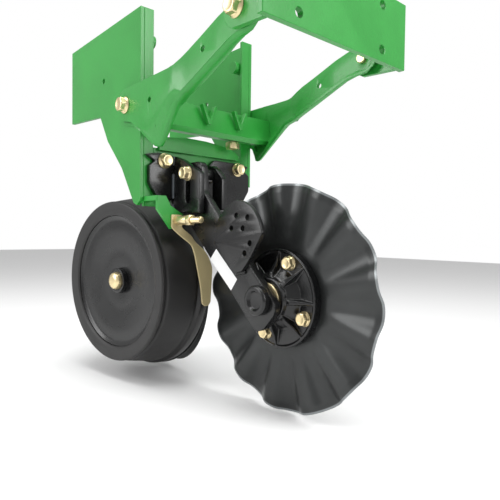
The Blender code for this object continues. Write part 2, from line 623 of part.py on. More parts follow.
def gauge_arm():
    """Cranked arm: its pivot end runs between disc and tyre, its wheel end inside the rim."""
    back = Vector((math.cos(TOE), math.sin(TOE), 0.0)) * GAUGE_ARM_LENGTH
    pivot = Vector(WHEEL_CENTRE) - back + Vector((0.0, 0.0, GAUGE_ARM_DROP))
    reach = GAUGE_ARM_LENGTH
    inner = GAUGE_ARM_INNER
    wheel_end = GAUGE_ARM_OUTER
    thick = GAUGE_ARM_T
    crank = [(-0.030, inner), (0.106, inner), (0.143, wheel_end), (reach + 0.026, wheel_end),
             (reach + 0.026, wheel_end + thick), (0.136, wheel_end + thick),
             (0.099, inner + thick), (-0.030, inner + thick)]
    arm = plate("gauge_arm", "green paint", [crank], 0.160, pivot, (0.0, 0.0, TOE))
    arm.data.transform(Matrix.Scale(-1.0, 4, (0.0, 1.0, 0.0)))
    arm.data.flip_normals()
    profile = (
        arc((0.0, 0.0), 0.029, 80.0, 260.0, 8)
        + arc((reach, -GAUGE_ARM_DROP), 0.0255, -100.0, 80.0, 8)
    )
    side_view = plate("gauge_arm_profile", None, [profile], 0.100, pivot, TOED_NEAR, CUTTERS)
    cut(arm, side_view, "INTERSECT")
    drill(arm, 0.0136, pivot, TOED_NEAR, 0.100, 16)
    drill(arm, 0.0128, WHEEL_CENTRE, TOED_NEAR, 0.100, 16)
    top = wheel_end + thick
    axle = [(0.0, 0.0905), (0.0202, 0.0905), (0.0202, top + 0.0150), (0.0185, top + GAP),
            (0.0125, top + GAP), (0.0125, wheel_end - GAP), (0.0, wheel_end - GAP)]
    turned("gauge_axle", "bright steel", axle, WHEEL_CENTRE, TOED_NEAR, 20)
    outer = inner + thick
    pin = [(0.0, outer + 0.009), (0.019, outer + 0.009), (0.019, outer + GAP),
           (0.0133, outer + GAP), (0.0133, inner - GAP), (0.019, inner - GAP), (0.019, -0.100),
           (0.0, -0.100)]
    trim_to_shank(turned("gauge_pivot_pin", "bright steel", pin, pivot, TOED_NEAR, 20), pivot, -1)


def scraper():
    """Wheel scraper: a bent blade on a bracket that comes round the mount plate's lower corner."""
    front = -0.2222
    bracket = [(-0.1440, 0.196), (-0.1440, 0.168), (-0.112, 0.128), (-0.088, 0.128),
               (-0.084, 0.160), (-0.112, 0.176), (-0.124, 0.196)]
    lug = plate("scraper_bracket", "green paint", [bracket, ring((-0.100, 0.146), 0.0068)], 0.008,
                (front - 0.004, 0.0, 0.0), ALONG_X)
    strap = block("bracket_strap", None, (FRAME_FRONT + GAP, -0.1452, 0.186),
                  (front - 0.002, -0.1300, 0.196), CUTTERS)
    cut(lug, strap, "UNION")
    outline = [(-0.113, 0.158), (-0.113, 0.132), (-0.074, 0.094), (-0.066, 0.073), (-0.050, 0.004),
               (-0.046, -0.030), (-0.041, -0.036), (-0.030, -0.037), (-0.024, -0.030),
               (-0.019, 0.046), (-0.030, 0.070), (-0.040, 0.083), (-0.062, 0.100),
               (-0.067, 0.116), (-0.087, 0.132), (-0.087, 0.158)]
    blade = plate("scraper_blade", "yellow zinc", [outline, ring((-0.100, 0.146), 0.0068)], 0.004,
                  (-0.2020, 0.0, 0.0), ALONG_X)
    for vertex in blade.data.vertices:
        bend = min(max((vertex.co.y - 0.085) / (0.132 - 0.085), 0.0), 1.0)
        vertex.co.z -= bend * 0.0179
    bolt_seat = front - 0.0083
    profile = [(0.0, 0.0), (0.011, 0.0), (0.012, -0.003), (0.012, -0.0065), (0.0065, -0.0065),
               (0.0065, -0.105), (0.0, -0.105)]
    turned("scraper_bolt", "yellow zinc", profile, (bolt_seat - 0.0067, -0.100, 0.146),
           (math.pi / 2, 0.0, -math.pi / 2), SMALL)
    hex_nut("scraper_nut", "yellow zinc", (-0.1750, -0.100, 0.146), ALONG_X, 0.0200, 0.0067, 0.012)
    sleeve = [(0.0095, 0.0422), (0.0095, 0.0), (0.0067, 0.0), (0.0067, 0.0422)]
    turned("scraper_sleeve", "yellow zinc", sleeve, (-0.2175, -0.100, 0.146), ALONG_X, SMALL, True)


toolbar_bracket()
lower_arms()
frame()
coulter_mount()
coulter_arm()
coulter_hub()
coulter_blade()
opener("near", -1)
opener("far", 1)
gauge_wheel()
scraper()
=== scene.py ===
import math

import bmesh
import bpy
from mathutils import Matrix, Vector


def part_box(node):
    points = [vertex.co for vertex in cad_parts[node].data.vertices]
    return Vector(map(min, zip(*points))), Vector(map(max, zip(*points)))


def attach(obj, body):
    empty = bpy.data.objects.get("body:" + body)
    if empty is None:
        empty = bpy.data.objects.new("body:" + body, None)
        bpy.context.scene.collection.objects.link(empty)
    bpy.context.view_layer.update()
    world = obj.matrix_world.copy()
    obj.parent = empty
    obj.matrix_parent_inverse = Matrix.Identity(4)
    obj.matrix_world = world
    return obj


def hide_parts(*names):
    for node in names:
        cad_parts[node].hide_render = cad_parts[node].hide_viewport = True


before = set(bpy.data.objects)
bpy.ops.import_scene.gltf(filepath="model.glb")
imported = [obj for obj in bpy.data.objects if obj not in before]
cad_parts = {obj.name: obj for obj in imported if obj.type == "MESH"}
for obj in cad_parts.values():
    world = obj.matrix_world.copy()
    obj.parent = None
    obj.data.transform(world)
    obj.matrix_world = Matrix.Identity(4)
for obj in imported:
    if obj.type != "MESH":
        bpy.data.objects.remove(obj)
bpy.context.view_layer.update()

# Studio: a pale floor under the row unit, soft boxes either side and above, and the camera low
# on the coulter's side, looking back along the row at about 45 degrees.
hub_low, hub_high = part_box("coulter_hub")
AXLE = Vector(((hub_low.x + hub_high.x) / 2, 0.0, (hub_low.z + hub_high.z) / 2))
scene = bpy.context.scene
lens = bpy.data.cameras.new("camera")
lens.sensor_width = 36.0
lens.lens = 35.49
lens.clip_start = 0.02
camera = bpy.data.objects.new("camera", lens)
scene.collection.objects.link(camera)
sight = Vector((-0.7485, 0.6624, -0.0319)).normalized()
right = Vector((0.6623, 0.7491, 0.0129))
right = (right - sight * right.dot(sight)).normalized()
up = right.cross(sight)
camera.matrix_world = (
    Matrix.Translation(AXLE + Vector((0.6527, -0.6665, 0.1191)))
    @ Matrix((right, up, -sight)).transposed().to_4x4()
)
scene.camera = camera


def new_material(name, colour, roughness, metallic=0.0, coat=0.0):
    material = bpy.data.materials.new(name)
    material.use_nodes = True
    shader = material.node_tree.nodes["Principled BSDF"]
    shader.inputs["Base Color"].default_value = (*colour, 1.0)
    shader.inputs["Roughness"].default_value = roughness
    shader.inputs["Metallic"].default_value = metallic
    shader.inputs["Coat Weight"].default_value = coat
    shader.inputs["Coat Roughness"].default_value = 0.12
    return material


def soft_box(name, place, aim, size, power):
    light = bpy.data.lights.new(name, "AREA")
    light.shape = "RECTANGLE"
    light.size, light.size_y = size
    light.energy = power
    lamp = bpy.data.objects.new(name, light)
    scene.collection.objects.link(lamp)
    lamp.location = AXLE + Vector(place)
    lamp.rotation_euler = (Vector(aim) - Vector(place)).to_track_quat("-Z", "Y").to_euler()
    return lamp


world = bpy.data.worlds.new("studio")
world.use_nodes = True
world.node_tree.nodes["Background"].inputs["Color"].default_value = (1.0, 1.0, 1.0, 1.0)
world.node_tree.nodes["Background"].inputs["Strength"].default_value = 0.55
scene.world = world
scene.view_settings.view_transform = "Standard"
soft_box("side_box", (-1.2, -2.0, 1.0), (-0.2, 0.0, 0.10), (0.9, 1.6), 26.0)
soft_box("front_box", (2.0, 0.7, 1.1), (-0.1, 0.0, 0.1), (0.8, 1.6), 34.0)
soft_box("top_box", (0.0, -0.2, 2.3), (-0.2, 0.0, 0.0), (1.6, 1.6), 42.0)
# The backdrop itself is white, while the light it gives is the dimmer strength above.
backdrop = world.node_tree.nodes.new("ShaderNodeBackground")
backdrop.inputs["Color"].default_value = (1.0, 1.0, 1.0, 1.0)
backdrop.inputs["Strength"].default_value = 1.0
ray = world.node_tree.nodes.new("ShaderNodeLightPath")
either = world.node_tree.nodes.new("ShaderNodeMixShader")
wire = world.node_tree.links.new
wire(ray.outputs["Is Camera Ray"], either.inputs["Fac"])
wire(world.node_tree.nodes["Background"].outputs["Background"], either.inputs[1])
wire(backdrop.outputs["Background"], either.inputs[2])
wire(either.outputs["Shader"], world.node_tree.nodes["World Output"].inputs["Surface"])

GROUND = -0.2185          # floor level, from the axle
FLOOR_X = 9.0
FLOOR_Y = 6.0
mesh = bpy.data.meshes.new("floor")
corners = [(-FLOOR_X, -FLOOR_Y), (FLOOR_X, -FLOOR_Y), (FLOOR_X, FLOOR_Y), (-FLOOR_X, FLOOR_Y)]
mesh.from_pydata([(x, y, GROUND) for x, y in corners], [], [(0, 1, 2, 3)])
mesh.transform(Matrix.Translation(AXLE))
floor = bpy.data.objects.new("floor", mesh)
scene.collection.objects.link(floor)
floor.data.materials.append(new_material("pale floor", (0.93, 0.93, 0.93), 0.7))


# Toolbar bracket: face plate and two lugs, flame-cut from 10 and 12 mm plate, welded and
# sprayed with green enamel. Zinc plated flange bolts pass through the lugs as the arms' pivots.
NEAR = Matrix(((1, 0, 0), (0, 0, -1), (0, 1, 0))).to_4x4()
FAR = Matrix(((-1, 0, 0), (0, 0, 1), (0, 1, 0))).to_4x4()
FORWARD = Matrix(((0, 0, 1), (1, 0, 0), (0, 1, 0))).to_4x4()


def at(place, turn=None):
    """Matrix that takes a shape's own axes to its place, measured from the coulter axle."""
    return Matrix.Translation(AXLE + Vector(place)) @ (turn or Matrix.Identity(4))


def surface_detail(material, bump_scale, bump_depth, shade, tint_scale=7.0, rough=0.06):
    """Fine relief, slow colour drift and uneven gloss, all in the piece's own metres."""
    tree = material.node_tree
    nodes, links = tree.nodes, tree.links
    shader = nodes["Principled BSDF"]
    colour = tuple(shader.inputs["Base Color"].default_value)
    base_rough = shader.inputs["Roughness"].default_value
    coords = nodes.new("ShaderNodeTexCoord")
    fine = nodes.new("ShaderNodeTexNoise")
    fine.inputs["Scale"].default_value = bump_scale
    fine.inputs["Detail"].default_value = 3.0
    links.new(coords.outputs["Object"], fine.inputs["Vector"])
    bump = nodes.new("ShaderNodeBump")
    bump.inputs["Strength"].default_value = 1.0
    bump.inputs["Distance"].default_value = bump_depth
    links.new(fine.outputs["Fac"], bump.inputs["Height"])
    links.new(bump.outputs["Normal"], shader.inputs["Normal"])
    slow = nodes.new("ShaderNodeTexNoise")
    slow.inputs["Scale"].default_value = tint_scale
    slow.inputs["Detail"].default_value = 6.0
    slow.inputs["Roughness"].default_value = 0.6
    links.new(coords.outputs["Object"], slow.inputs["Vector"])
    ramp = nodes.new("ShaderNodeValToRGB")
    ramp.color_ramp.elements[0].position = 0.3
    ramp.color_ramp.elements[1].position = 0.7
    ramp.color_ramp.elements[0].color = (*[c * (1.0 - shade) for c in colour[:3]], 1.0)
    ramp.color_ramp.elements[1].color = (*[min(c * (1.0 + shade), 1.0) for c in colour[:3]], 1.0)
    links.new(slow.outputs["Fac"], ramp.inputs["Fac"])
    links.new(ramp.outputs["Color"], shader.inputs["Base Color"])
    gloss = nodes.new("ShaderNodeMapRange")
    gloss.inputs["From Min"].default_value = 0.3
    gloss.inputs["From Max"].default_value = 0.7
    gloss.inputs["To Min"].default_value = base_rough - rough
    gloss.inputs["To Max"].default_value = base_rough + rough
    links.new(slow.outputs["Fac"], gloss.inputs["Value"])
    links.new(gloss.outputs["Result"], shader.inputs["Roughness"])
    return material


GREEN = surface_detail(new_material("green enamel", (0.022, 0.285, 0.036), 0.34, coat=0.15),
                       260.0, 0.00022, 0.10)


def turned_shading_tree():
    """Smooth shading that leaves edges past a given angle crisp."""
    tree = bpy.data.node_groups.new("turned shading", "GeometryNodeTree")
    face = tree.interface
    face.new_socket("Geometry", in_out="INPUT", socket_type="NodeSocketGeometry")
    limit = face.new_socket("Crisp Angle", in_out="INPUT", socket_type="NodeSocketFloat")
    limit.default_value = math.radians(32.0)
    face.new_socket("Geometry", in_out="OUTPUT", socket_type="NodeSocketGeometry")
    nodes, links = tree.nodes, tree.links
    source = nodes.new("NodeGroupInput")
    target = nodes.new("NodeGroupOutput")
    smooth = nodes.new("GeometryNodeSetShadeSmooth")
    fold = nodes.new("GeometryNodeInputMeshEdgeAngle")
    past = nodes.new("FunctionNodeCompare")
    past.data_type = "FLOAT"
    past.operation = "GREATER_THAN"
    crisp = nodes.new("GeometryNodeSetShadeSmooth")
    crisp.domain = "EDGE"
    crisp.inputs["Shade Smooth"].default_value = False
    links.new(source.outputs["Geometry"], smooth.inputs["Geometry"])
    links.new(smooth.outputs["Geometry"], crisp.inputs["Geometry"])
    links.new(fold.outputs["Unsigned Angle"], past.inputs[0])
    links.new(source.outputs["Crisp Angle"], past.inputs[1])
    links.new(past.outputs["Result"], crisp.inputs["Selection"])
    links.new(crisp.outputs["Geometry"], target.inputs["Geometry"])
    return tree


TURNED_SHADING = turned_shading_tree()


def own_finish(names, material, edge=0.0011, round_piece=False):
    """Give frame pieces their finish and ease their cut edges, by material and modifiers only."""
    for name in names:
        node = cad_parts[name]
        node.data.materials.clear()
        node.data.materials.append(material)
        weld = node.modifiers.new("weld", "WELD")
        weld.merge_threshold = 0.00002
        ease = node.modifiers.new("ease", "BEVEL")
        ease.width = edge
        ease.segments = 2
        ease.limit_method = "ANGLE"
        ease.angle_limit = math.radians(40.0)
        if round_piece:
            shading = node.modifiers.new("shading", "NODES")
            shading.node_group = TURNED_SHADING


def rounded(points, steps=4):
    """Round an outline's corners. A point's third number is how far the corner is cut back."""
    result = []
    count = len(points)
    for index, point in enumerate(points):
        corner = Vector(point[:2])
        cut = point[2] if len(point) > 2 else 0.0
        if cut <= 0.0:
            result.append(tuple(corner))
            continue
        before = Vector(points[index - 1][:2]) - corner
        after = Vector(points[(index + 1) % count][:2]) - corner
        cut = min(cut, before.length * 0.49, after.length * 0.49)
        start = corner + before.normalized() * cut
        end = corner + after.normalized() * cut
        for step in range(steps + 1):
            t = step / steps
            result.append(tuple(start * (1 - t) ** 2 + corner * (2 * t * (1 - t)) + end * t * t))
    return result


def arc(centre, radius, start, end, count):
    angles = [math.radians(start + (end - start) * step / count) for step in range(count + 1)]
    return [(centre[0] + radius * math.cos(a), centre[1] + radius * math.sin(a)) for a in angles]


def hole(centre, radius, count=28):
    return arc(centre, radius, 0.0, 360.0 - 360.0 / count, count - 1)


def plate(outlines, thickness, edge=0.0010):
    """Flat plate with eased edges: the first outline is the outside, the rest are holes."""
    curve = bpy.data.curves.new("outline", "CURVE")
    curve.dimensions = "2D"
    curve.fill_mode = "BOTH"
    curve.extrude = thickness / 2 - edge
    curve.bevel_depth = edge
    curve.bevel_resolution = 2
    curve.offset = -edge
    for outline in outlines:
        spline = curve.splines.new("POLY")
        spline.points.add(len(outline) - 1)
        for point, (x, y) in zip(spline.points, outline):
            point.co = (x, y, 0.0, 1.0)
        spline.use_cyclic_u = True
    flat = bpy.data.objects.new("outline", curve)
    scene.collection.objects.link(flat)
    mesh = bpy.data.meshes.new_from_object(flat.evaluated_get(bpy.context.evaluated_depsgraph_get()))
    bpy.data.objects.remove(flat, do_unlink=True)
    return welded(mesh)


def welded(mesh):
    shape = bmesh.new()
    shape.from_mesh(mesh)
    bmesh.ops.remove_doubles(shape, verts=shape.verts, dist=0.000005)
    bmesh.ops.recalc_face_normals(shape, faces=shape.faces)
    shape.to_mesh(mesh)
    shape.free()
    return mesh


def ring_points(radius, height, steps, across=None):
    """A level of a turned shape: a point at radius 0, or a circle held inside a hexagon."""
    if radius < 1e-6:
        return [(0.0, 0.0, height)]
    points = []
    for s in range(steps):
        turn = 2 * math.pi * s / steps
        reach = radius
        if across:
            reach = min(radius, across / 2 / math.cos(turn % (math.pi / 3) - math.pi / 6))
        points.append((reach * math.cos(turn), reach * math.sin(turn), height))
    return points


def lofted(name, levels, steps, closed):
    """Skin the levels one after another, and the last to the first if closed."""
    shape = bmesh.new()
    rings = [[shape.verts.new(point) for point in level] for level in levels]
    pairs = list(zip(rings, rings[1:]))
    if closed:
        pairs.append((rings[-1], rings[0]))
    for first, second in pairs:
        for s in range(steps):
            t = (s + 1) % steps
            corners = [first[s % len(first)], first[t % len(first)],
                       second[t % len(second)], second[s % len(second)]]
            unique = list(dict.fromkeys(corners))
            if len(unique) > 2:
                shape.faces.new(unique)
    bmesh.ops.recalc_face_normals(shape, faces=shape.faces)
    mesh = bpy.data.meshes.new(name)
    shape.to_mesh(mesh)
    shape.free()
    return mesh


def turned(profile, steps=96):
    """Turned shape round z from (radius, height) points; radius 0 closes an end."""
    levels = [ring_points(radius, height, steps) for radius, height in profile]
    hollow = len(levels[0]) > 1 and len(levels[-1]) > 1
    return lofted("turned", levels, steps, hollow)


def piece(name, mesh, place, material, body, stands_for=(), crease=32.0):
    """Put a finished mesh where it belongs, smooth between its creases, riding on its body."""
    mesh.transform(place)
    mesh.materials.clear()
    mesh.materials.append(material)
    mesh.shade_smooth()
    mesh.set_sharp_from_angle(angle=math.radians(crease))
    mesh.name = name
    obj = bpy.data.objects.new(name, mesh)
    scene.collection.objects.link(obj)
    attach(obj, body)
    if stands_for:
        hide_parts(*stands_for)
    return obj


own_finish(["toolbar_plate", "near_toolbar_lug", "far_toolbar_lug"], GREEN)

ZINC = surface_detail(new_material("yellow zinc", (0.80, 0.66, 0.38), 0.30, 0.85),
                      900.0, 0.00002, 0.07, 60.0, 0.05)


HEX_STEPS = 72


def bolt(across, flange, shank, length, head=None):
    """Hexagon flange bolt, seat at z 0 and head along +z: forged, chamfered, rolled washer face."""
    head = head or across * 0.62
    rim = across * 0.10
    # share of the width across flats, height, held in to the hexagon
    forged = [(0.0, 0.955, False), (0.30, 0.955, False), (0.36, 0.99, False), (0.44, 1.0, False),
              (0.475, 0.985, False), (0.505, 0.955, True), (0.545, 0.90, True), (0.590, 0.82, True)]
    levels = [ring_points(share * across, high * head, HEX_STEPS, across if hexed else None)
              for share, high, hexed in forged]
    levels.append(ring_points(0.590 * across, rim * 2.4, HEX_STEPS, across))
    below = [(max(across * 0.60, flange * 0.80), rim * 1.55), (flange * 0.93, rim),
             (flange, rim * 0.6), (flange, 0.0003), (shank, 0.0003), (shank, -length + 0.001),
             (shank - 0.001, -length), (0.0, -length)]
    levels += [ring_points(radius, height, HEX_STEPS) for radius, height in below]
    return lofted("bolt", levels, HEX_STEPS, False)


def nut(across, bore, height, flange=None):
    """Hexagon nut, seat at z 0: chamfered top, threaded bore left as a shallow bevel."""
    levels = [(bore, height * 0.93, False), (bore * 1.12, height, False),
              (across * 0.455, height, False), (across * 0.51, height * 0.955, True),
              (across * 0.59, height * 0.84, True)]
    if flange:
        levels += [(across * 0.59, 0.0034, True), (max(across * 0.6, flange * 0.85), 0.0026, False),
                   (flange, 0.0016, False), (flange, 0.0, False), (bore, 0.0, False)]
    else:
        levels += [(across * 0.59, height * 0.10, True), (across * 0.50, 0.0, False),
                   (bore, 0.0, False)]
    rings = [ring_points(radius, z, HEX_STEPS, across if hexed else None)
             for radius, z, hexed in levels]
    return lofted("nut", rings, HEX_STEPS, True)


PIVOT_HEX = 0.027         # pivot bolt, across its flats
PIVOT_FLANGE_R = 0.018
PIVOT_R = 0.010
LUG_FACE = 0.175          # outer face of a toolbar lug, out from the middle of the row
for side, sign in (("near", -1), ("far", 1)):
    low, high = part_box(side + "_front_pivot_bolt")
    middle = (low + high) / 2 - AXLE
    turn = NEAR if sign < 0 else FAR
    piece(side + "_front_pivot", bolt(PIVOT_HEX, PIVOT_FLANGE_R, PIVOT_R, 0.032),
          at((middle.x, sign * LUG_FACE, middle.z), turn), ZINC, "toolbar_bracket",
          (side + "_front_pivot_bolt",))


# Lower parallel arms: pressed from 8 mm plate, folded in below a slanting crease to a pointed
# tip, with a small flange along the foot, joined by a folded cross member and painted green.
REAR_PIVOT = (-0.325, 0.392)
FRONT_PIVOT = (0.058, 0.470)
ARM_WALL = 0.0078
ARM_INNER = 0.1560        # inner face of an arm, out from the middle of the row
CREASE_FROM = -0.251      # the fold runs between these two places along the arm
CREASE_TO = -0.139
CREASE_START = (-0.250, 0.3355)
CREASE_RISE = 0.509
FOLD_LEAN = 0.45          # how far in the fold goes for its depth
FOOT_BEND = 0.0045


def formed_arm(sign):
    """The arm as stations along its length: top, crease and foot heights, and inward jog.

    Below its crease the plate is folded in, most at the pointed tip, and a small flange is
    turned in along the foot.
    """
    stations = [
        # x, top, foot, flange width, inward jog
        (-0.3600, 0.402, 0.382, 0.000, 0.0), (-0.3560, 0.413, 0.371, 0.000, 0.0),
        (-0.3450, 0.423, 0.361, 0.000, 0.0), (-0.3250, 0.427, 0.357, 0.000, 0.0),
        (-0.3000, 0.4275, 0.352, 0.000, 0.0), (-0.2690, 0.428, 0.337, 0.000, 0.0),
        (-0.2500, 0.4285, 0.3168, 0.000, 0.0), (-0.2380, 0.4285, 0.3045, 0.000, 0.0),
        (-0.2300, 0.429, 0.3024, 0.001, 0.0), (-0.2240, 0.429, 0.3025, 0.002, 0.0),
        (-0.2140, 0.429, 0.3110, 0.003, 0.0), (-0.1950, 0.429, 0.3285, 0.005, 0.0),
        (-0.1750, 0.4295, 0.3475, 0.007, 0.0), (-0.1550, 0.430, 0.3665, 0.010, 0.0),
        (-0.1480, 0.431, 0.3715, 0.012, 0.0), (-0.1400, 0.4325, 0.3750, 0.012, 0.0010),
        (-0.1200, 0.4405, 0.3825, 0.012, 0.0045), (-0.1020, 0.4475, 0.3895, 0.012, 0.006),
        (-0.0600, 0.4625, 0.4060, 0.012, 0.006), (-0.0100, 0.4815, 0.4265, 0.011, 0.006),
        (0.0200, 0.4900, 0.4385, 0.008, 0.006), (0.0450, 0.4955, 0.4440, 0.004, 0.006),
        (0.0660, 0.4945, 0.4460, 0.001, 0.006), (0.0780, 0.4865, 0.4540, 0.000, 0.006),
        (0.0838, 0.4740, 0.4660, 0.000, 0.006),
    ]
    shape = bmesh.new()
    rows = []
    for x, top, foot, width, jog in stations:
        face = ARM_INNER - jog
        crease = foot
        if CREASE_FROM < x < CREASE_TO:
            crease = max(foot, CREASE_START[1] + (x - CREASE_START[0]) * CREASE_RISE)
        lean = FOLD_LEAN * (crease - foot)
        row = [(0.0, top), (0.0, top - (top - crease) * 0.5), (0.0, crease + 0.0001)]
        row.append((lean * 0.5, (crease + foot) / 2 + 0.00005))
        span = min(width, FOOT_BEND)
        for k in range(6):
            a = math.pi / 2 * k / 5
            row.append((lean + span * (1 - math.cos(a)), foot + span - span * math.sin(a)))
        row.append((lean + span + max(width - span, 0.0001), foot))
        rows.append([shape.verts.new((x, sign * (face - inward), z)) for inward, z in row])
    for first, second in zip(rows, rows[1:]):
        for k in range(len(first) - 1):
            shape.faces.new((first[k], first[k + 1], second[k + 1], second[k]))
    bmesh.ops.recalc_face_normals(shape, faces=shape.faces)
    outward = sum((f.normal.y * sign for f in shape.faces if abs(f.normal.y) > 0.8), 0.0)
    if outward < 0:
        bmesh.ops.reverse_faces(shape, faces=shape.faces)
    mesh = bpy.data.meshes.new("arm")
    shape.to_mesh(mesh)
    shape.free()
    return mesh


def applied(mesh, build):
    """Run modifiers, added by build, on a mesh and give back the plain result."""
    obj = bpy.data.objects.new("work", mesh)
    scene.collection.objects.link(obj)
    extras = build(obj) or []
    result = bpy.data.meshes.new_from_object(obj.evaluated_get(bpy.context.evaluated_depsgraph_get()))
    for other in [obj] + extras:
        bpy.data.objects.remove(other, do_unlink=True)
    return result


def holes_along_y(obj, centres, half=0.30):
    """Round holes drilled across the row through a piece, as (x, z, radius)."""
    cutters = []
    for x, z, radius in centres:
        mesh = turned([(0.0, half), (radius, half), (radius, -half), (0.0, -half)], 32)
        mesh.transform(Matrix.Translation((x, 0.0, z)) @ NEAR)
        cutter = bpy.data.objects.new("cutter", mesh)
        scene.collection.objects.link(cutter)
        boolean = obj.modifiers.new("drill", "BOOLEAN")
        boolean.solver = "EXACT"
        boolean.object = cutter
        cutters.append(cutter)
    bpy.context.view_layer.update()
    return cutters


def arm_finish(obj):
    wall = obj.modifiers.new("wall", "SOLIDIFY")
    wall.thickness = ARM_WALL
    wall.offset = 1.0
    cutters = holes_along_y(obj, [(*REAR_PIVOT, 0.0103), (*FRONT_PIVOT, 0.0103),
                                  (-0.2235, 0.3845, 0.006), (-0.053, 0.440, 0.006)])
    ease = obj.modifiers.new("ease", "BEVEL")
    ease.width = 0.0012
    ease.segments = 2
    ease.limit_method = "ANGLE"
    ease.angle_limit = math.radians(50.0)
    return cutters


ARM_FACE_OUT = 0.164      # outer face of an arm, where the rear pivot bolt seats
REAR_SHANK_R = 0.0096     # clears the side plate's hole all the way round
for side, sign in (("near", -1), ("far", 1)):
    piece(side + "_arm", applied(formed_arm(sign), arm_finish), at((0, 0, 0)), GREEN, "parallel_arms",
          (side + "_lower_arm",), 40.0)
    low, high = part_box(side + "_rear_pivot_bolt")
    middle = (low + high) / 2 - AXLE
    turn = NEAR if sign < 0 else FAR
    piece(side + "_rear_pivot", bolt(PIVOT_HEX, PIVOT_FLANGE_R, REAR_SHANK_R, 0.030),
          at((middle.x, sign * ARM_FACE_OUT, middle.z), turn), ZINC, "parallel_arms",
          (side + "_rear_pivot_bolt",))
    foot = turned([(0.0122, 0.0102), (0.0155, 0.0095), (0.0160, 0.0070), (0.0160, 0.0004),
                   (0.0122, 0.0004)], 48)
    piece(side + "_pivot_bush", foot, at((middle.x, sign * 0.1455, middle.z), FAR if sign < 0 else NEAR),
          GREEN, "row_frame", ())

own_finish(["arm_cross_member", "near_spring_lug", "far_spring_lug"], GREEN)
piece("spring_nut", nut(0.028, 0.008, 0.016), at((-0.240, 0.065, 0.3164)), ZINC, "parallel_arms",
      ("spring_anchor_nut",))


# Row frame: side plates, turned front flanges, web, arched rail and shank, cut from 8 mm plate,
# jig-welded and painted green. The welds are left as laid, rippled about every millimetre and a
# half.
own_finish(["near_side_plate", "far_side_plate", "near_front_flange", "far_front_flange",
            "front_web", "front_rail", "shank"], GREEN)


def weld_tree():
    """Beads along a path: overlapping flattened drops, each nudged by a fixed seed."""
    tree = bpy.data.node_groups.new("weld bead", "GeometryNodeTree")
    face = tree.interface
    face.new_socket("Geometry", in_out="INPUT", socket_type="NodeSocketGeometry")
    for label, value in (("Bead Width", 0.006), ("Ripple Spacing", 0.0016), ("Unevenness", 0.15)):
        socket = face.new_socket(label, in_out="INPUT", socket_type="NodeSocketFloat")
        socket.default_value = value
    face.new_socket("Material", in_out="INPUT", socket_type="NodeSocketMaterial")
    face.new_socket("Geometry", in_out="OUTPUT", socket_type="NodeSocketGeometry")
    nodes, links = tree.nodes, tree.links
    source = nodes.new("NodeGroupInput")
    target = nodes.new("NodeGroupOutput")
    as_curve = nodes.new("GeometryNodeMeshToCurve")
    resample = nodes.new("GeometryNodeResampleCurve")
    resample.mode = "LENGTH"
    drop = nodes.new("GeometryNodeMeshUVSphere")
    drop.inputs["Segments"].default_value = 12
    drop.inputs["Rings"].default_value = 8
    drop.inputs["Radius"].default_value = 0.5
    tangent = nodes.new("GeometryNodeInputTangent")
    align = nodes.new("FunctionNodeAlignEulerToVector")
    align.axis = "X"
    place = nodes.new("GeometryNodeInstanceOnPoints")
    shrink = nodes.new("ShaderNodeCombineXYZ")
    length = nodes.new("ShaderNodeMath")
    length.operation = "MULTIPLY"
    length.inputs[1].default_value = 3.0
    wobble = nodes.new("FunctionNodeRandomValue")
    wobble.data_type = "FLOAT"
    wobble.inputs["Seed"].default_value = 7
    spread = nodes.new("ShaderNodeMath")
    spread.operation = "SUBTRACT"
    spread.inputs[0].default_value = 1.0
    width = nodes.new("ShaderNodeMath")
    width.operation = "MULTIPLY"
    realize = nodes.new("GeometryNodeRealizeInstances")
    finish = nodes.new("GeometryNodeSetMaterial")
    links.new(source.outputs["Geometry"], as_curve.inputs["Mesh"])
    links.new(as_curve.outputs["Curve"], resample.inputs["Curve"])
    links.new(source.outputs["Ripple Spacing"], resample.inputs["Length"])
    links.new(resample.outputs["Curve"], place.inputs["Points"])
    links.new(drop.outputs["Mesh"], place.inputs["Instance"])
    links.new(tangent.outputs["Tangent"], align.inputs["Vector"])
    links.new(align.outputs["Rotation"], place.inputs["Rotation"])
    links.new(source.outputs["Unevenness"], spread.inputs[1])
    links.new(spread.outputs["Value"], wobble.inputs[2])
    wobble.inputs[3].default_value = 1.0
    links.new(source.outputs["Bead Width"], width.inputs[0])
    links.new(wobble.outputs[1], width.inputs[1])
    links.new(source.outputs["Ripple Spacing"], length.inputs[0])
    links.new(length.outputs["Value"], shrink.inputs["X"])
    links.new(width.outputs["Value"], shrink.inputs["Y"])
    links.new(width.outputs["Value"], shrink.inputs["Z"])
    links.new(shrink.outputs["Vector"], place.inputs["Scale"])
    links.new(place.outputs["Instances"], realize.inputs["Geometry"])
    links.new(realize.outputs["Geometry"], finish.inputs["Geometry"])
    links.new(source.outputs["Material"], finish.inputs["Material"])
    links.new(finish.outputs["Geometry"], target.inputs["Geometry"])
    return tree


WELD = weld_tree()


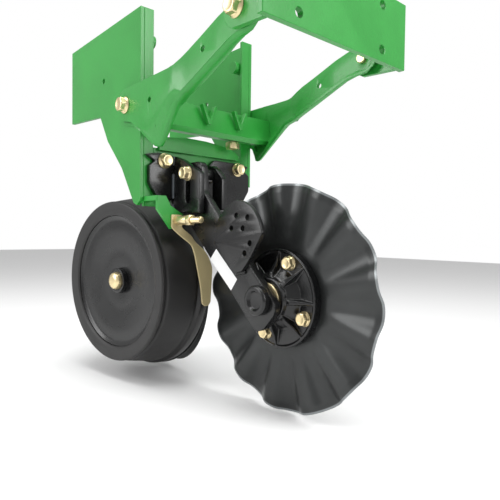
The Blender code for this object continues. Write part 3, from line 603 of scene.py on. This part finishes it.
def weld(name, path, material, body, width=0.006, slot=None):
    """A weld bead along a path measured from the coulter axle."""
    mesh = bpy.data.meshes.new(name)
    mesh.from_pydata([tuple(AXLE + Vector(p)) for p in path],
                     [(k, k + 1) for k in range(len(path) - 1)], [])
    work = bpy.data.objects.new(name, mesh)
    scene.collection.objects.link(work)
    modifier = work.modifiers.new("weld", "NODES")
    modifier.node_group = WELD
    for item in WELD.interface.items_tree:
        if item.item_type == "SOCKET" and item.in_out == "INPUT":
            if item.name == "Bead Width":
                modifier[item.identifier] = width
            if item.name == "Material":
                modifier[item.identifier] = material
    bpy.context.view_layer.update()
    done = bpy.data.meshes.new_from_object(work.evaluated_get(bpy.context.evaluated_depsgraph_get()))
    bpy.data.objects.remove(work, do_unlink=True)
    obj = bpy.data.objects.new(name, done)
    done.shade_smooth()
    scene.collection.objects.link(obj)
    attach(obj, body)
    return obj


for side, sign in (("near", -1), ("far", 1)):
    weld(side + "_corner_weld", [(-0.2855, sign * 0.1440, 0.250), (-0.2855, sign * 0.1440, 0.580)],
         GREEN, "row_frame", 0.007, "green_paint")
    weld(side + "_cross_member_weld", [(-0.2200, sign * 0.1535, 0.386), (-0.2135, sign * 0.1535, 0.345),
                                       (-0.2200, sign * 0.1535, 0.336), (-0.258, sign * 0.1535, 0.3395)],
         GREEN, "parallel_arms", 0.007, "green_paint")
weld("rail_weld", [(-0.2790, -0.110, 0.297), (-0.2790, 0.104, 0.297)], GREEN, "row_frame", 0.005,
     "green_paint")


# Opener discs and their stubs: spring steel discs, ground to a bevel outside, riveted to pressed
# bearing hubs, and left with the mill's dark finish under clear lacquer.
def ground_steel(name, colour, roughness, metallic, turns, relief=0.00006, uneven=0.08):
    """Steel with fine round grinding marks about a piece's own axis, from its 'radius' attribute."""
    material = new_material(name, colour, roughness, metallic)
    nodes, links = material.node_tree.nodes, material.node_tree.links
    shader = nodes["Principled BSDF"]
    radius = nodes.new("ShaderNodeAttribute")
    radius.attribute_name = "radius"
    coords = nodes.new("ShaderNodeTexCoord")
    noise = nodes.new("ShaderNodeTexNoise")
    noise.noise_dimensions = "1D"
    noise.inputs["Scale"].default_value = turns
    noise.inputs["Detail"].default_value = 2.0
    links.new(radius.outputs["Fac"], noise.inputs["W"])
    patch = nodes.new("ShaderNodeTexNoise")
    patch.inputs["Scale"].default_value = 14.0
    patch.inputs["Detail"].default_value = 5.0
    links.new(coords.outputs["Object"], patch.inputs["Vector"])
    mixed = nodes.new("ShaderNodeMath")
    mixed.operation = "MULTIPLY"
    links.new(noise.outputs["Fac"], mixed.inputs[0])
    links.new(patch.outputs["Fac"], mixed.inputs[1])
    bump = nodes.new("ShaderNodeBump")
    bump.inputs["Distance"].default_value = relief
    links.new(mixed.outputs["Value"], bump.inputs["Height"])
    links.new(bump.outputs["Normal"], shader.inputs["Normal"])
    rough = nodes.new("ShaderNodeMapRange")
    rough.inputs["From Min"].default_value = 0.1
    rough.inputs["From Max"].default_value = 0.45
    rough.inputs["To Min"].default_value = roughness - uneven
    rough.inputs["To Max"].default_value = roughness + uneven
    links.new(mixed.outputs["Value"], rough.inputs["Value"])
    links.new(rough.outputs["Result"], shader.inputs["Roughness"])
    ramp = nodes.new("ShaderNodeValToRGB")
    ramp.color_ramp.elements[0].position = 0.3
    ramp.color_ramp.elements[1].position = 0.7
    ramp.color_ramp.elements[0].color = (*[c * 0.86 for c in colour], 1.0)
    ramp.color_ramp.elements[1].color = (*[min(c * 1.16, 1.0) for c in colour], 1.0)
    links.new(patch.outputs["Fac"], ramp.inputs["Fac"])
    links.new(ramp.outputs["Color"], shader.inputs["Base Color"])
    return material


def with_radius(mesh):
    """Store each point's distance from the piece's own z axis, for turned and ground marks."""
    attribute = mesh.attributes.new("radius", "FLOAT", "POINT")
    for index, vertex in enumerate(mesh.vertices):
        attribute.data[index].value = math.hypot(vertex.co.x, vertex.co.y)
    return mesh


BLADE = ground_steel("dark blade steel", (0.034, 0.036, 0.036), 0.31, 0.45, 260.0, 0.000006,
                     0.02)
BRIGHT = ground_steel("turned steel", (0.56, 0.57, 0.57), 0.28, 1.0, 900.0)
TOE = math.radians(7.5)


def toed(sign):
    """Turn for a wheel whose own z points outwards on that side, toed in towards the front."""
    ahead = Vector((math.cos(TOE), -sign * math.sin(TOE), 0.0))
    out = Vector((math.sin(TOE), sign * math.cos(TOE), 0.0))
    upward = out.cross(ahead)
    return Matrix((ahead, upward, out)).transposed().to_4x4()


DISC_X = -0.430
DISC_OUT = 0.0275
DISC_Z = -0.012
RIVETS = 6
RIVET_CIRCLE_R = 0.0505
for side, sign in (("near", -1), ("far", 1)):
    centre = (DISC_X, sign * DISC_OUT, DISC_Z)
    profile = [(0.034, 0.0240), (0.0375, 0.0235), (0.0400, 0.0210), (0.0408, 0.0140),
               (0.0420, 0.0075), (0.0450, 0.0060), (0.0560, 0.0052), (0.0590, 0.0046),
               (0.0620, 0.0020), (0.0640, 0.00175), (0.1000, 0.00175), (0.1400, 0.00175),
               (0.1810, 0.00175), (0.1822, 0.0016), (0.1903, 0.0002), (0.1903, -0.0008),
               (0.1890, -0.00165), (0.1810, -0.00175), (0.1300, -0.00175), (0.0700, -0.00175),
               (0.0220, -0.00175), (0.0220, 0.0240)]
    piece(side + "_disc", with_radius(turned(profile, 144)), at(centre, toed(sign)), BLADE,
          side + "_opener", (side + "_opener_disc",), 25.0)
    for k in range(RIVETS):
        angle = 2 * math.pi * k / RIVETS
        spot = Vector((RIVET_CIRCLE_R * math.cos(angle), RIVET_CIRCLE_R * math.sin(angle), 0.0054))
        rivet = turned([(0.0, 0.0030), (0.0022, 0.0028), (0.0040, 0.0018), (0.0050, 0.0),
                        (0.0050, -0.0020), (0.0, -0.0020)], 24)
        rivet.transform(Matrix.Translation(spot))
        piece(side + "_rivet_" + str(k + 1), rivet, at(centre, toed(sign)), BRIGHT, side + "_opener",
              (), 50.0)
own_finish(["near_disc_spindle", "far_disc_spindle", "gauge_pivot_pin", "gauge_axle"], BRIGHT,
           0.0006, round_piece=True)


# Gauge wheel: a moulded rubber tyre stretched over a black dished steel rim, with a sealed hub.
# The cranked arm is cut from 12 mm plate and runs between the tyre's lip and the opener disc.
RUBBER = surface_detail(new_material("tyre rubber", (0.012, 0.0115, 0.0115), 0.50),
                        1400.0, 0.00006, 0.18, 22.0, 0.08)
BLACK = surface_detail(new_material("black paint", (0.007, 0.0072, 0.0075), 0.27),
                       420.0, 0.00012, 0.14, 12.0, 0.06)
CASTING = surface_detail(new_material("black casting", (0.006, 0.0062, 0.0066), 0.22),
                         620.0, 0.00028, 0.16, 30.0, 0.07)
WHEEL = (-0.415, -0.045, 0.008)
tyre = rounded([
    (0.1790, 0.1120, 0.002), (0.1820, 0.1090, 0.001), (0.1820, 0.1060, 0.001),
    (0.1770, 0.1040, 0.0008), (0.1770, 0.1010, 0.0008), (0.1830, 0.0980, 0.003),
    (0.1870, 0.0800, 0.006), (0.1920, 0.0550, 0.010), (0.1965, 0.0320, 0.003),
    (0.1955, 0.0260, 0.002), (0.1985, 0.0230, 0.0015), (0.2029, 0.0200, 0.003),
    (0.2030, 0.0080, 0.004), (0.2020, 0.0010, 0.001), (0.1960, 0.0000, 0.003),
    (0.1700, 0.0022, 0.006), (0.1502, 0.0042, 0.002), (0.1500, 0.1060, 0.001),
    (0.1540, 0.1090, 0.002), (0.1640, 0.1112, 0.006),
], 4)
piece("tyre", turned(tyre, 192), at(WHEEL, toed(-1)), RUBBER, "gauge_wheel", ("gauge_tyre",),
      60.0)
dish = rounded([
    (0.1497, 0.1040, 0.0012), (0.1497, 0.0060, 0.0008), (0.1466, 0.0060, 0.0008),
    (0.1466, 0.0935, 0.004), (0.1200, 0.0930, 0.010), (0.0700, 0.0855, 0.010),
    (0.0290, 0.0842, 0.0006), (0.0290, 0.0880, 0.0006), (0.0690, 0.0895, 0.010),
    (0.1190, 0.0975, 0.010), (0.1420, 0.0990, 0.006),
], 5)
piece("wheel_dish", turned(dish, 144), at(WHEEL, toed(-1)), BLACK, "gauge_wheel", ("gauge_rim",),
      50.0)
hub = rounded([
    (0.0285, 0.1000, 0.001), (0.0285, 0.0836, 0.001), (0.0480, 0.0836, 0.001), (0.0498, 0.0815, 0.001),
    (0.0498, 0.0785, 0.001), (0.0340, 0.0775, 0.002), (0.0310, 0.0400, 0.001), (0.0206, 0.0400, 0.0004),
    (0.0206, 0.1000, 0.0004),
], 3)
piece("wheel_hub", turned(hub, 72), at(WHEEL, toed(-1)), CASTING, "gauge_wheel", ("gauge_hub",),
      50.0)
cap = rounded([(0.0, 0.1118), (0.0110, 0.1116, 0.003), (0.0185, 0.1085, 0.003), (0.0201, 0.1010, 0.001),
               (0.0201, 0.0920, 0.0005), (0.0, 0.0920)], 4)
piece("wheel_cap", turned(cap, 64), at(WHEEL, toed(-1)), ZINC, "gauge_wheel", ("gauge_cap",),
      50.0)
own_finish(["gauge_arm"], GREEN, 0.0014)


# Coulter mount: a half-inch plate bolted to the frame by two flange bolts, with two slotted walls
# stitch-welded to it. Flame-cut and painted satin black, welds and all; the wall welds get a lighter, glossy
# steel colour as a painted highlight.
HEAVY = 0.0127            # half-inch plate
PLATE_FRONT = -0.2645
OUT = -0.0795             # near wall's outer face
WELD_X = -0.2630          # in the corner between a wall and the plate
BOLT_Y = 0.1015
BOLT_Z = 0.274
BOLT_HEX = 0.0238
BOLT_R = 0.008
BOLT_HOLE_R = 0.0083
CLAMP_X = -0.2095
CLAMP_Z = 0.2445
SLOT_HALF = 0.0084
plate_outline = [
    (-0.100, 0.165, 0.003), (0.100, 0.165, 0.003), (0.138, 0.225, 0.004), (0.138, 0.262, 0.002),
    (0.125, 0.2705, 0.002), (0.135, 0.284, 0.003), (0.108, 0.2885, 0.004), (0.032, 0.290, 0.006),
    (0.004, 0.262, 0.010), (-0.018, 0.250, 0.008), (-0.066, 0.250, 0.003), (-0.080, 0.287, 0.003),
    (-0.118, 0.290, 0.004), (-0.1455, 0.2845, 0.003), (-0.1245, 0.272, 0.002), (-0.138, 0.262, 0.002),
    (-0.138, 0.225, 0.004),
]
plate_holes = [hole((y, BOLT_Z), BOLT_HOLE_R) for y in (-BOLT_Y, BOLT_Y)] + [hole((-0.083, 0.183), 0.008)]
piece("bracket_plate", plate([rounded(plate_outline, 3)] + plate_holes, HEAVY, 0.0012),
      at((PLATE_FRONT - HEAVY / 2, 0, 0), FORWARD), BLACK, "row_frame", ("mount_plate",))
slot_points = (arc((CLAMP_X, 0.2471), SLOT_HALF, 0.0, 180.0, 14)
               + arc((CLAMP_X, 0.1914), SLOT_HALF, 180.0, 360.0, 14))
near_wall = [(-0.2642, 0.165, 0.001), (-0.1675, 0.161, 0.004), (-0.1675, 0.243, 0.006),
             (-0.173, 0.247, 0.004), (-0.232, 0.276, 0.010), (-0.2642, 0.286, 0.001)]
far_wall = [(-0.2642, 0.168, 0.001), (-0.1675, 0.168, 0.004), (-0.1675, 0.236, 0.006),
            (-0.190, 0.258, 0.006), (-0.205, 0.266, 0.006), (-0.2642, 0.270, 0.001)]
for side, outline, outer in (("near", near_wall, 0.0795), ("far", far_wall, 0.0218)):
    piece(side + "_slotted_wall", plate([rounded(outline), slot_points], HEAVY, 0.0011),
          at((0, -outer + HEAVY / 2, 0), NEAR), BLACK, "row_frame", (side + "_mount_wall",))
# Lighter glossy steel for the wall welds: a painted highlight on fillet beads that are painted black like the
# walls.
PAINTED_WELD_HIGHLIGHT = new_material("weld steel lightened as painted highlight", (0.13, 0.14, 0.16), 0.34, 0.75)
for k, (low_z, high_z) in enumerate(((0.268, 0.283), (0.196, 0.246), (0.167, 0.180))):
    weld("near_wall_weld_" + str(k + 1), [(WELD_X, OUT - 0.001, low_z), (WELD_X, OUT - 0.001, high_z)],
         PAINTED_WELD_HIGHLIGHT, "row_frame", 0.008)
for k, (low_z, high_z) in enumerate(((0.240, 0.262), (0.172, 0.196))):
    weld("far_wall_weld_" + str(k + 1), [(WELD_X, -0.0080, low_z), (WELD_X, -0.0080, high_z)],
         PAINTED_WELD_HIGHLIGHT, "row_frame", 0.008)
for side, y in (("near", -BOLT_Y), ("far", BOLT_Y)):
    piece(side + "_flange_bolt", bolt(BOLT_HEX, 0.0163, BOLT_R, 0.030),
          at((PLATE_FRONT, y, BOLT_Z), FORWARD), ZINC, "row_frame", (side + "_mount_bolt",))


# Coulter carrier: 5/8 inch arm bar with a sector plate welded on its face, held in the walls'
# slots by one through bolt, and a stub axle pressed and welded into its lower end.
ARM_FACE = 0.064          # arm bar's outer face, out from the blade's middle plane
BAR_T = 0.016             # five-eighths plate
SECTOR_T = 0.0095
SECTOR_GAP = 0.0003       # between the sector plate and the bar's face
slope = math.radians(-43.1)
along = Vector((math.cos(slope), math.sin(slope)))
across = Vector((-along.y, along.x))
middle = Vector((0.0, -0.002)) - across * 0.0118
half = 0.0381
low_corner = middle + along * 0.041 - across * half
high_corner = middle + along * 0.041 + across * half
upper = middle - along * 0.150 + across * half
lower = middle - along * 0.268 - across * half
arm_outline = [
    (*low_corner, 0.027), (*high_corner, 0.027), (*upper, 0.010), (-0.176, 0.205, 0.010),
    (-0.183, 0.262, 0.006), (-0.192, 0.270, 0.006), (-0.2625, 0.270, 0.003), (-0.2625, 0.176, 0.006),
    (*lower, 0.010),
]
arm_holes = [hole((CLAMP_X, CLAMP_Z), BOLT_HOLE_R), hole((0, 0), 0.0165, 48)]
piece("arm_bar", plate([rounded(arm_outline, 8)] + arm_holes, BAR_T, 0.0012),
      at((0, -ARM_FACE + BAR_T / 2, 0), NEAR), BLACK, "coulter_carrier", ("coulter_arm",))
sector = (
    [(-0.112, 0.150), (-0.086, 0.172)] + arc((-0.062, 0.107), 0.076, 92.0, 24.0, 20)
    + rounded([(-0.010, 0.150, 0.0), (0.015, 0.123, 0.005), (0.005, 0.109, 0.004), (-0.019, 0.074, 0.004),
               (-0.041, 0.050, 0.004), (-0.064, 0.046, 0.004), (-0.128, 0.103, 0.006)])[1:]
)
sector_holes = [(-0.058, 0.154), (-0.026, 0.150), (-0.072, 0.130), (-0.039, 0.130), (-0.019, 0.103),
                (-0.033, 0.084)]
piece("hole_sector", plate([sector] + [hole(h, 0.0055, 24) for h in sector_holes], SECTOR_T, 0.0009),
      at((0, -ARM_FACE - SECTOR_GAP - SECTOR_T / 2, 0), NEAR), BLACK, "coulter_carrier",
      ("sector_plate",))
weld("sector_weld", [(-0.064, -0.0655, 0.0445), (-0.052, -0.0655, 0.0465), (-0.040, -0.0655, 0.0485)],
     BLACK, "coulter_carrier", 0.008, "black_paint")
LABEL = surface_detail(new_material("white label", (0.86, 0.86, 0.86), 0.30), 300.0, 0.00003, 0.02)
label = [(-0.130, 0.089, 0.001), (-0.150, 0.067, 0.001), (-0.082, 0.010, 0.001), (-0.064, 0.033, 0.001)]
piece("blank_label", plate([rounded(label, 3)], 0.0003, 0.0001), at((0, -0.06415, 0), NEAR), LABEL,
      "coulter_carrier")
piece("clamp_through_bolt", bolt(BOLT_HEX, 0.0155, BOLT_R, 0.084, 0.0160), at((CLAMP_X, OUT, CLAMP_Z), NEAR),
      ZINC, "coulter_carrier", ("clamp_bolt",))
piece("clamp_hex_nut", nut(BOLT_HEX, 0.0084, 0.014, 0.0150), at((CLAMP_X, -0.0088, CLAMP_Z), FAR), ZINC,
      "coulter_carrier", ("clamp_nut",))
own_finish(["clamp_spacer"], BLACK, 0.0006, round_piece=True)
stub = rounded([
    (0.0, 0.0738), (0.0150, 0.0740, 0.001), (0.0185, 0.0791, 0.001), (0.0245, 0.0791, 0.002),
    (0.0275, 0.0765, 0.002), (0.0275, 0.0645, 0.0006), (0.0162, 0.0643), (0.0162, 0.0440),
    (0.0157, 0.0436), (0.0157, -0.0120), (0.0098, -0.0124), (0.0098, -0.0290), (0.0, -0.0300),
], 4)
piece("stub_axle", turned(stub, 80), at((0, 0, 0), NEAR), BLACK, "coulter_carrier",
      ("coulter_spindle",), 40.0)
own_finish(["spindle_collar", "spindle_nut"], ZINC, 0.0006, round_piece=True)


# Coulter hub: iron casting with a coned barrel, eight gusset ribs and a raised rim round four
# flange bolts. The mould's texture shows through its black paint.
BOLT_TURN = math.radians(66.2)
RIBS = 8
hub_profile = [
    (0.0400, 0.0445), (0.0420, 0.0350), (0.0500, 0.0260), (0.0570, 0.0172), (0.0870, 0.0172),
    (0.0884, 0.0206), (0.0934, 0.0206), (0.0934, 0.0028), (0.0292, 0.0028), (0.0292, -0.0100),
    (0.0270, -0.0100), (0.0270, 0.0040), (0.0250, 0.0060), (0.0250, 0.0220), (0.0310, 0.0240),
    (0.0310, 0.0445),
]


def hub_build(obj):
    """Join the ribs and let the mould's fillets form."""
    extras = []
    for k in range(RIBS):
        turn = BOLT_TURN + math.radians(360.0 / RIBS * (k + 0.5))
        rib = bmesh.new()
        section = [(0.0345, 0.0120, 0.0064), (0.0900, 0.0120, 0.0020), (0.0900, 0.0200, 0.0016),
                   (0.0700, 0.0265, 0.0024), (0.0500, 0.0385, 0.0042), (0.0345, 0.0400, 0.0060)]
        sides = [[rib.verts.new((r, s * w, z)) for r, z, w in section] for s in (-1, 1)]
        rib.faces.new(sides[0])
        rib.faces.new(sides[1][::-1])
        for i in range(len(section)):
            j = (i + 1) % len(section)
            rib.faces.new((sides[0][j], sides[0][i], sides[1][i], sides[1][j]))
        bmesh.ops.recalc_face_normals(rib, faces=rib.faces)
        bmesh.ops.rotate(rib, matrix=Matrix.Rotation(turn, 3, "Z"), verts=rib.verts)
        mesh = bpy.data.meshes.new("rib")
        rib.to_mesh(mesh)
        rib.free()
        other = bpy.data.objects.new("rib", mesh)
        scene.collection.objects.link(other)
        join = obj.modifiers.new("rib", "BOOLEAN")
        join.operation = "UNION"
        join.solver = "EXACT"
        join.object = other
        extras.append(other)
    fine = obj.modifiers.new("cast", "REMESH")
    fine.mode = "VOXEL"
    fine.voxel_size = 0.00115
    fine.use_smooth_shade = True
    ease = obj.modifiers.new("ease", "SMOOTH")
    ease.factor = 0.5
    ease.iterations = 5
    bpy.context.view_layer.update()
    return extras


piece("ribbed_hub", applied(turned(hub_profile, 120), hub_build), at((0, 0, 0), NEAR), CASTING,
      "coulter_wheel", ("coulter_hub",), 80.0)
dust_cap = rounded([(0.0, 0.0400), (0.0200, 0.0400, 0.005), (0.0262, 0.0340, 0.004),
                    (0.0268, 0.0103, 0.0004), (0.0250, 0.0103, 0.0004), (0.0245, 0.0330, 0.003),
                    (0.0190, 0.0382, 0.003), (0.0, 0.0382)], 4)
piece("dust_cap", turned(dust_cap, 72), at((0, 0, 0), FAR), CASTING, "coulter_wheel", ("hub_cap",),
      40.0)
own_finish(["arm_side_bearing", "cap_side_bearing"], BRIGHT, 0.0004, round_piece=True)
own_finish(["blade_clamp_ring"], BLACK, 0.0008, round_piece=True)


def bolt_ring_tree(template):
    """Bolts set round a circle, each turned a little further, as they end up when tightened."""
    tree = bpy.data.node_groups.new("bolt circle", "GeometryNodeTree")
    face = tree.interface
    face.new_socket("Geometry", in_out="INPUT", socket_type="NodeSocketGeometry")
    for label, value in (("Bolt Circle Radius", 0.0734), ("Seat Height", 0.0171), ("First Angle", BOLT_TURN)):
        socket = face.new_socket(label, in_out="INPUT", socket_type="NodeSocketFloat")
        socket.default_value = value
    count = face.new_socket("Count", in_out="INPUT", socket_type="NodeSocketInt")
    count.default_value = 4
    face.new_socket("Material", in_out="INPUT", socket_type="NodeSocketMaterial")
    face.new_socket("Geometry", in_out="OUTPUT", socket_type="NodeSocketGeometry")
    nodes, links = tree.nodes, tree.links
    source = nodes.new("NodeGroupInput")
    target = nodes.new("NodeGroupOutput")
    circle = nodes.new("GeometryNodeMeshCircle")
    one = nodes.new("GeometryNodeObjectInfo")
    one.inputs["Object"].default_value = template
    place = nodes.new("GeometryNodeInstanceOnPoints")
    turn = nodes.new("FunctionNodeRandomValue")
    turn.data_type = "FLOAT"
    turn.inputs[3].default_value = 1.05
    turn.inputs["Seed"].default_value = 11
    spin = nodes.new("ShaderNodeCombineXYZ")
    lift = nodes.new("ShaderNodeCombineXYZ")
    swing = nodes.new("ShaderNodeCombineXYZ")
    move = nodes.new("GeometryNodeTransform")
    realize = nodes.new("GeometryNodeRealizeInstances")
    finish = nodes.new("GeometryNodeSetMaterial")
    links.new(source.outputs["Count"], circle.inputs["Vertices"])
    links.new(source.outputs["Bolt Circle Radius"], circle.inputs["Radius"])
    links.new(circle.outputs["Mesh"], place.inputs["Points"])
    links.new(one.outputs["Geometry"], place.inputs["Instance"])
    links.new(turn.outputs[1], spin.inputs["Z"])
    links.new(spin.outputs["Vector"], place.inputs["Rotation"])
    links.new(place.outputs["Instances"], move.inputs["Geometry"])
    links.new(source.outputs["Seat Height"], lift.inputs["Z"])
    links.new(source.outputs["First Angle"], swing.inputs["Z"])
    links.new(lift.outputs["Vector"], move.inputs["Translation"])
    links.new(swing.outputs["Vector"], move.inputs["Rotation"])
    links.new(move.outputs["Geometry"], realize.inputs["Geometry"])
    links.new(realize.outputs["Geometry"], finish.inputs["Geometry"])
    links.new(source.outputs["Material"], finish.inputs["Material"])
    links.new(finish.outputs["Geometry"], target.inputs["Geometry"])
    return tree


one_bolt = bpy.data.objects.new("one_bolt", bolt(0.0215, 0.0138, 0.0064, 0.030, 0.0128))
scene.collection.objects.link(one_bolt)
seats = bpy.data.objects.new("seats", bpy.data.meshes.new("seats"))
scene.collection.objects.link(seats)
circle = seats.modifiers.new("bolts", "NODES")
circle.node_group = bolt_ring_tree(one_bolt)
for item in circle.node_group.interface.items_tree:
    if item.item_type == "SOCKET" and item.in_out == "INPUT" and item.name == "Material":
        circle[item.identifier] = ZINC
bpy.context.view_layer.update()
ring_mesh = bpy.data.meshes.new_from_object(seats.evaluated_get(bpy.context.evaluated_depsgraph_get()))
bpy.data.objects.remove(seats, do_unlink=True)
bpy.data.objects.remove(one_bolt, do_unlink=True)
piece("hub_flange_bolts", ring_mesh, at((0, 0, 0), NEAR), ZINC, "coulter_wheel",
      ("hub_bolt_1", "hub_bolt_2", "hub_bolt_3", "hub_bolt_4"))


# Coulter blade: 5 mm boron steel pressed into thirteen waves that grow from the hub's flat seat
# to the rim, with a bevel ground bright all round the edge.
BLADE_R = 0.2159
WAVES = 13
WAVE_HEIGHT = 0.0072
WAVE_PHASE = 1.856
WAVE_SHARPNESS = 1.2
WAVE_START_R = 0.105


def wave_height(radius, turn):
    """How far the blade's middle surface is bent out at a place on it."""
    growth = min(max((radius - WAVE_START_R) / (BLADE_R - WAVE_START_R), 0.0), 1.0)
    wave = math.sin(WAVES * turn + WAVE_PHASE)
    shaped = math.tanh(WAVE_SHARPNESS * wave) / math.tanh(WAVE_SHARPNESS)
    return WAVE_HEIGHT * growth ** 0.9 * shaped


def wavy_blade():
    half = 0.0025
    radii = [0.0300, 0.0450, 0.0600, 0.0750, 0.0900] + [WAVE_START_R + 0.0965 * k / 30 for k in range(31)]
    top = [(r, half) for r in radii] + [(0.2050, 0.0019), (0.2090, 0.0013), (0.2130, 0.0009)]
    rim = [(0.2152, 0.0006), (0.2153, 0.0), (0.2152, -0.0006)]
    bottom = [(r, -h) for r, h in reversed(top)]
    mesh = with_radius(turned(top + rim + bottom, WAVES * 28))
    for vertex in mesh.vertices:
        radius = math.hypot(vertex.co.x, vertex.co.y)
        vertex.co.z -= wave_height(radius, math.atan2(vertex.co.y, vertex.co.x))
    return mesh


def add_bright_rim(material):
    """The ground bevel: lighter bare steel beyond a radius."""
    nodes, links = material.node_tree.nodes, material.node_tree.links
    shader = nodes["Principled BSDF"]
    dark = shader.inputs["Base Color"].links[0].from_socket
    radius = nodes.new("ShaderNodeAttribute")
    radius.attribute_name = "radius"
    step = nodes.new("ShaderNodeMapRange")
    step.inputs["From Min"].default_value = 0.2108
    step.inputs["From Max"].default_value = 0.2120
    links.new(radius.outputs["Fac"], step.inputs["Value"])
    mix = nodes.new("ShaderNodeMix")
    mix.data_type = "RGBA"
    links.new(step.outputs["Result"], mix.inputs["Factor"])
    links.new(dark, mix.inputs[6])
    mix.inputs[7].default_value = (0.22, 0.235, 0.24, 1.0)
    links.new(mix.outputs[2], shader.inputs["Base Color"])
    return material


EDGED = add_bright_rim(ground_steel("bevelled blade steel", (0.034, 0.036, 0.036), 0.31, 0.45,
                                    260.0, 0.000006, 0.02))
piece("wavy_blade", wavy_blade(), at((0, 0, 0), NEAR), EDGED, "coulter_wheel", ("coulter_blade",),
      60.0)


# Scraper: a 4 mm zinc-plated strip, cut to a long tapering blade and bent at its tab, on a green
# bracket that comes round the mount plate's corner, with a long through bolt and sleeve.
strip = rounded([
    (-0.113, 0.158, 0.003), (-0.113, 0.132, 0.004), (-0.074, 0.094, 0.006), (-0.066, 0.073, 0.006),
    (-0.050, 0.004, 0.020), (-0.0465, -0.030, 0.004), (-0.040, -0.0368, 0.004), (-0.030, -0.0368, 0.004),
    (-0.0235, -0.030, 0.004), (-0.019, 0.046, 0.010), (-0.030, 0.070, 0.006), (-0.040, 0.083, 0.006),
    (-0.062, 0.100, 0.008), (-0.067, 0.116, 0.005), (-0.087, 0.132, 0.003), (-0.087, 0.158, 0.003),
], 5)


def strip_build(obj):
    fine = obj.modifiers.new("cells", "REMESH")
    fine.mode = "VOXEL"
    fine.voxel_size = 0.0009
    ease = obj.modifiers.new("ease", "SMOOTH")
    ease.factor = 0.5
    ease.iterations = 3
    return []


TAN = surface_detail(new_material("dull tan zinc", (0.60, 0.50, 0.27), 0.45, 0.25),
                     500.0, 0.00002, 0.05, 20.0, 0.04)
strip_mesh = applied(plate([strip, hole((-0.100, 0.146), 0.0068)], 0.004, 0.0009), strip_build)
for vertex in strip_mesh.vertices:
    bend = min(max((vertex.co.y - 0.090) / (0.128 - 0.090), 0.0), 1.0)
    vertex.co.z -= bend * bend * (3 - 2 * bend) * 0.0179
piece("scraper_strip", strip_mesh, at((-0.2020, 0, 0), FORWARD), TAN, "scraper", ("scraper_blade",),
      60.0)
own_finish(["scraper_bracket"], GREEN)
own_finish(["scraper_bolt", "scraper_sleeve"], ZINC, 0.0005, round_piece=True)
piece("scraper_hex_nut", nut(0.0200, 0.0067, 0.012), at((-0.1750, -0.100, 0.146), FORWARD), ZINC,
      "row_frame", ("scraper_nut",))
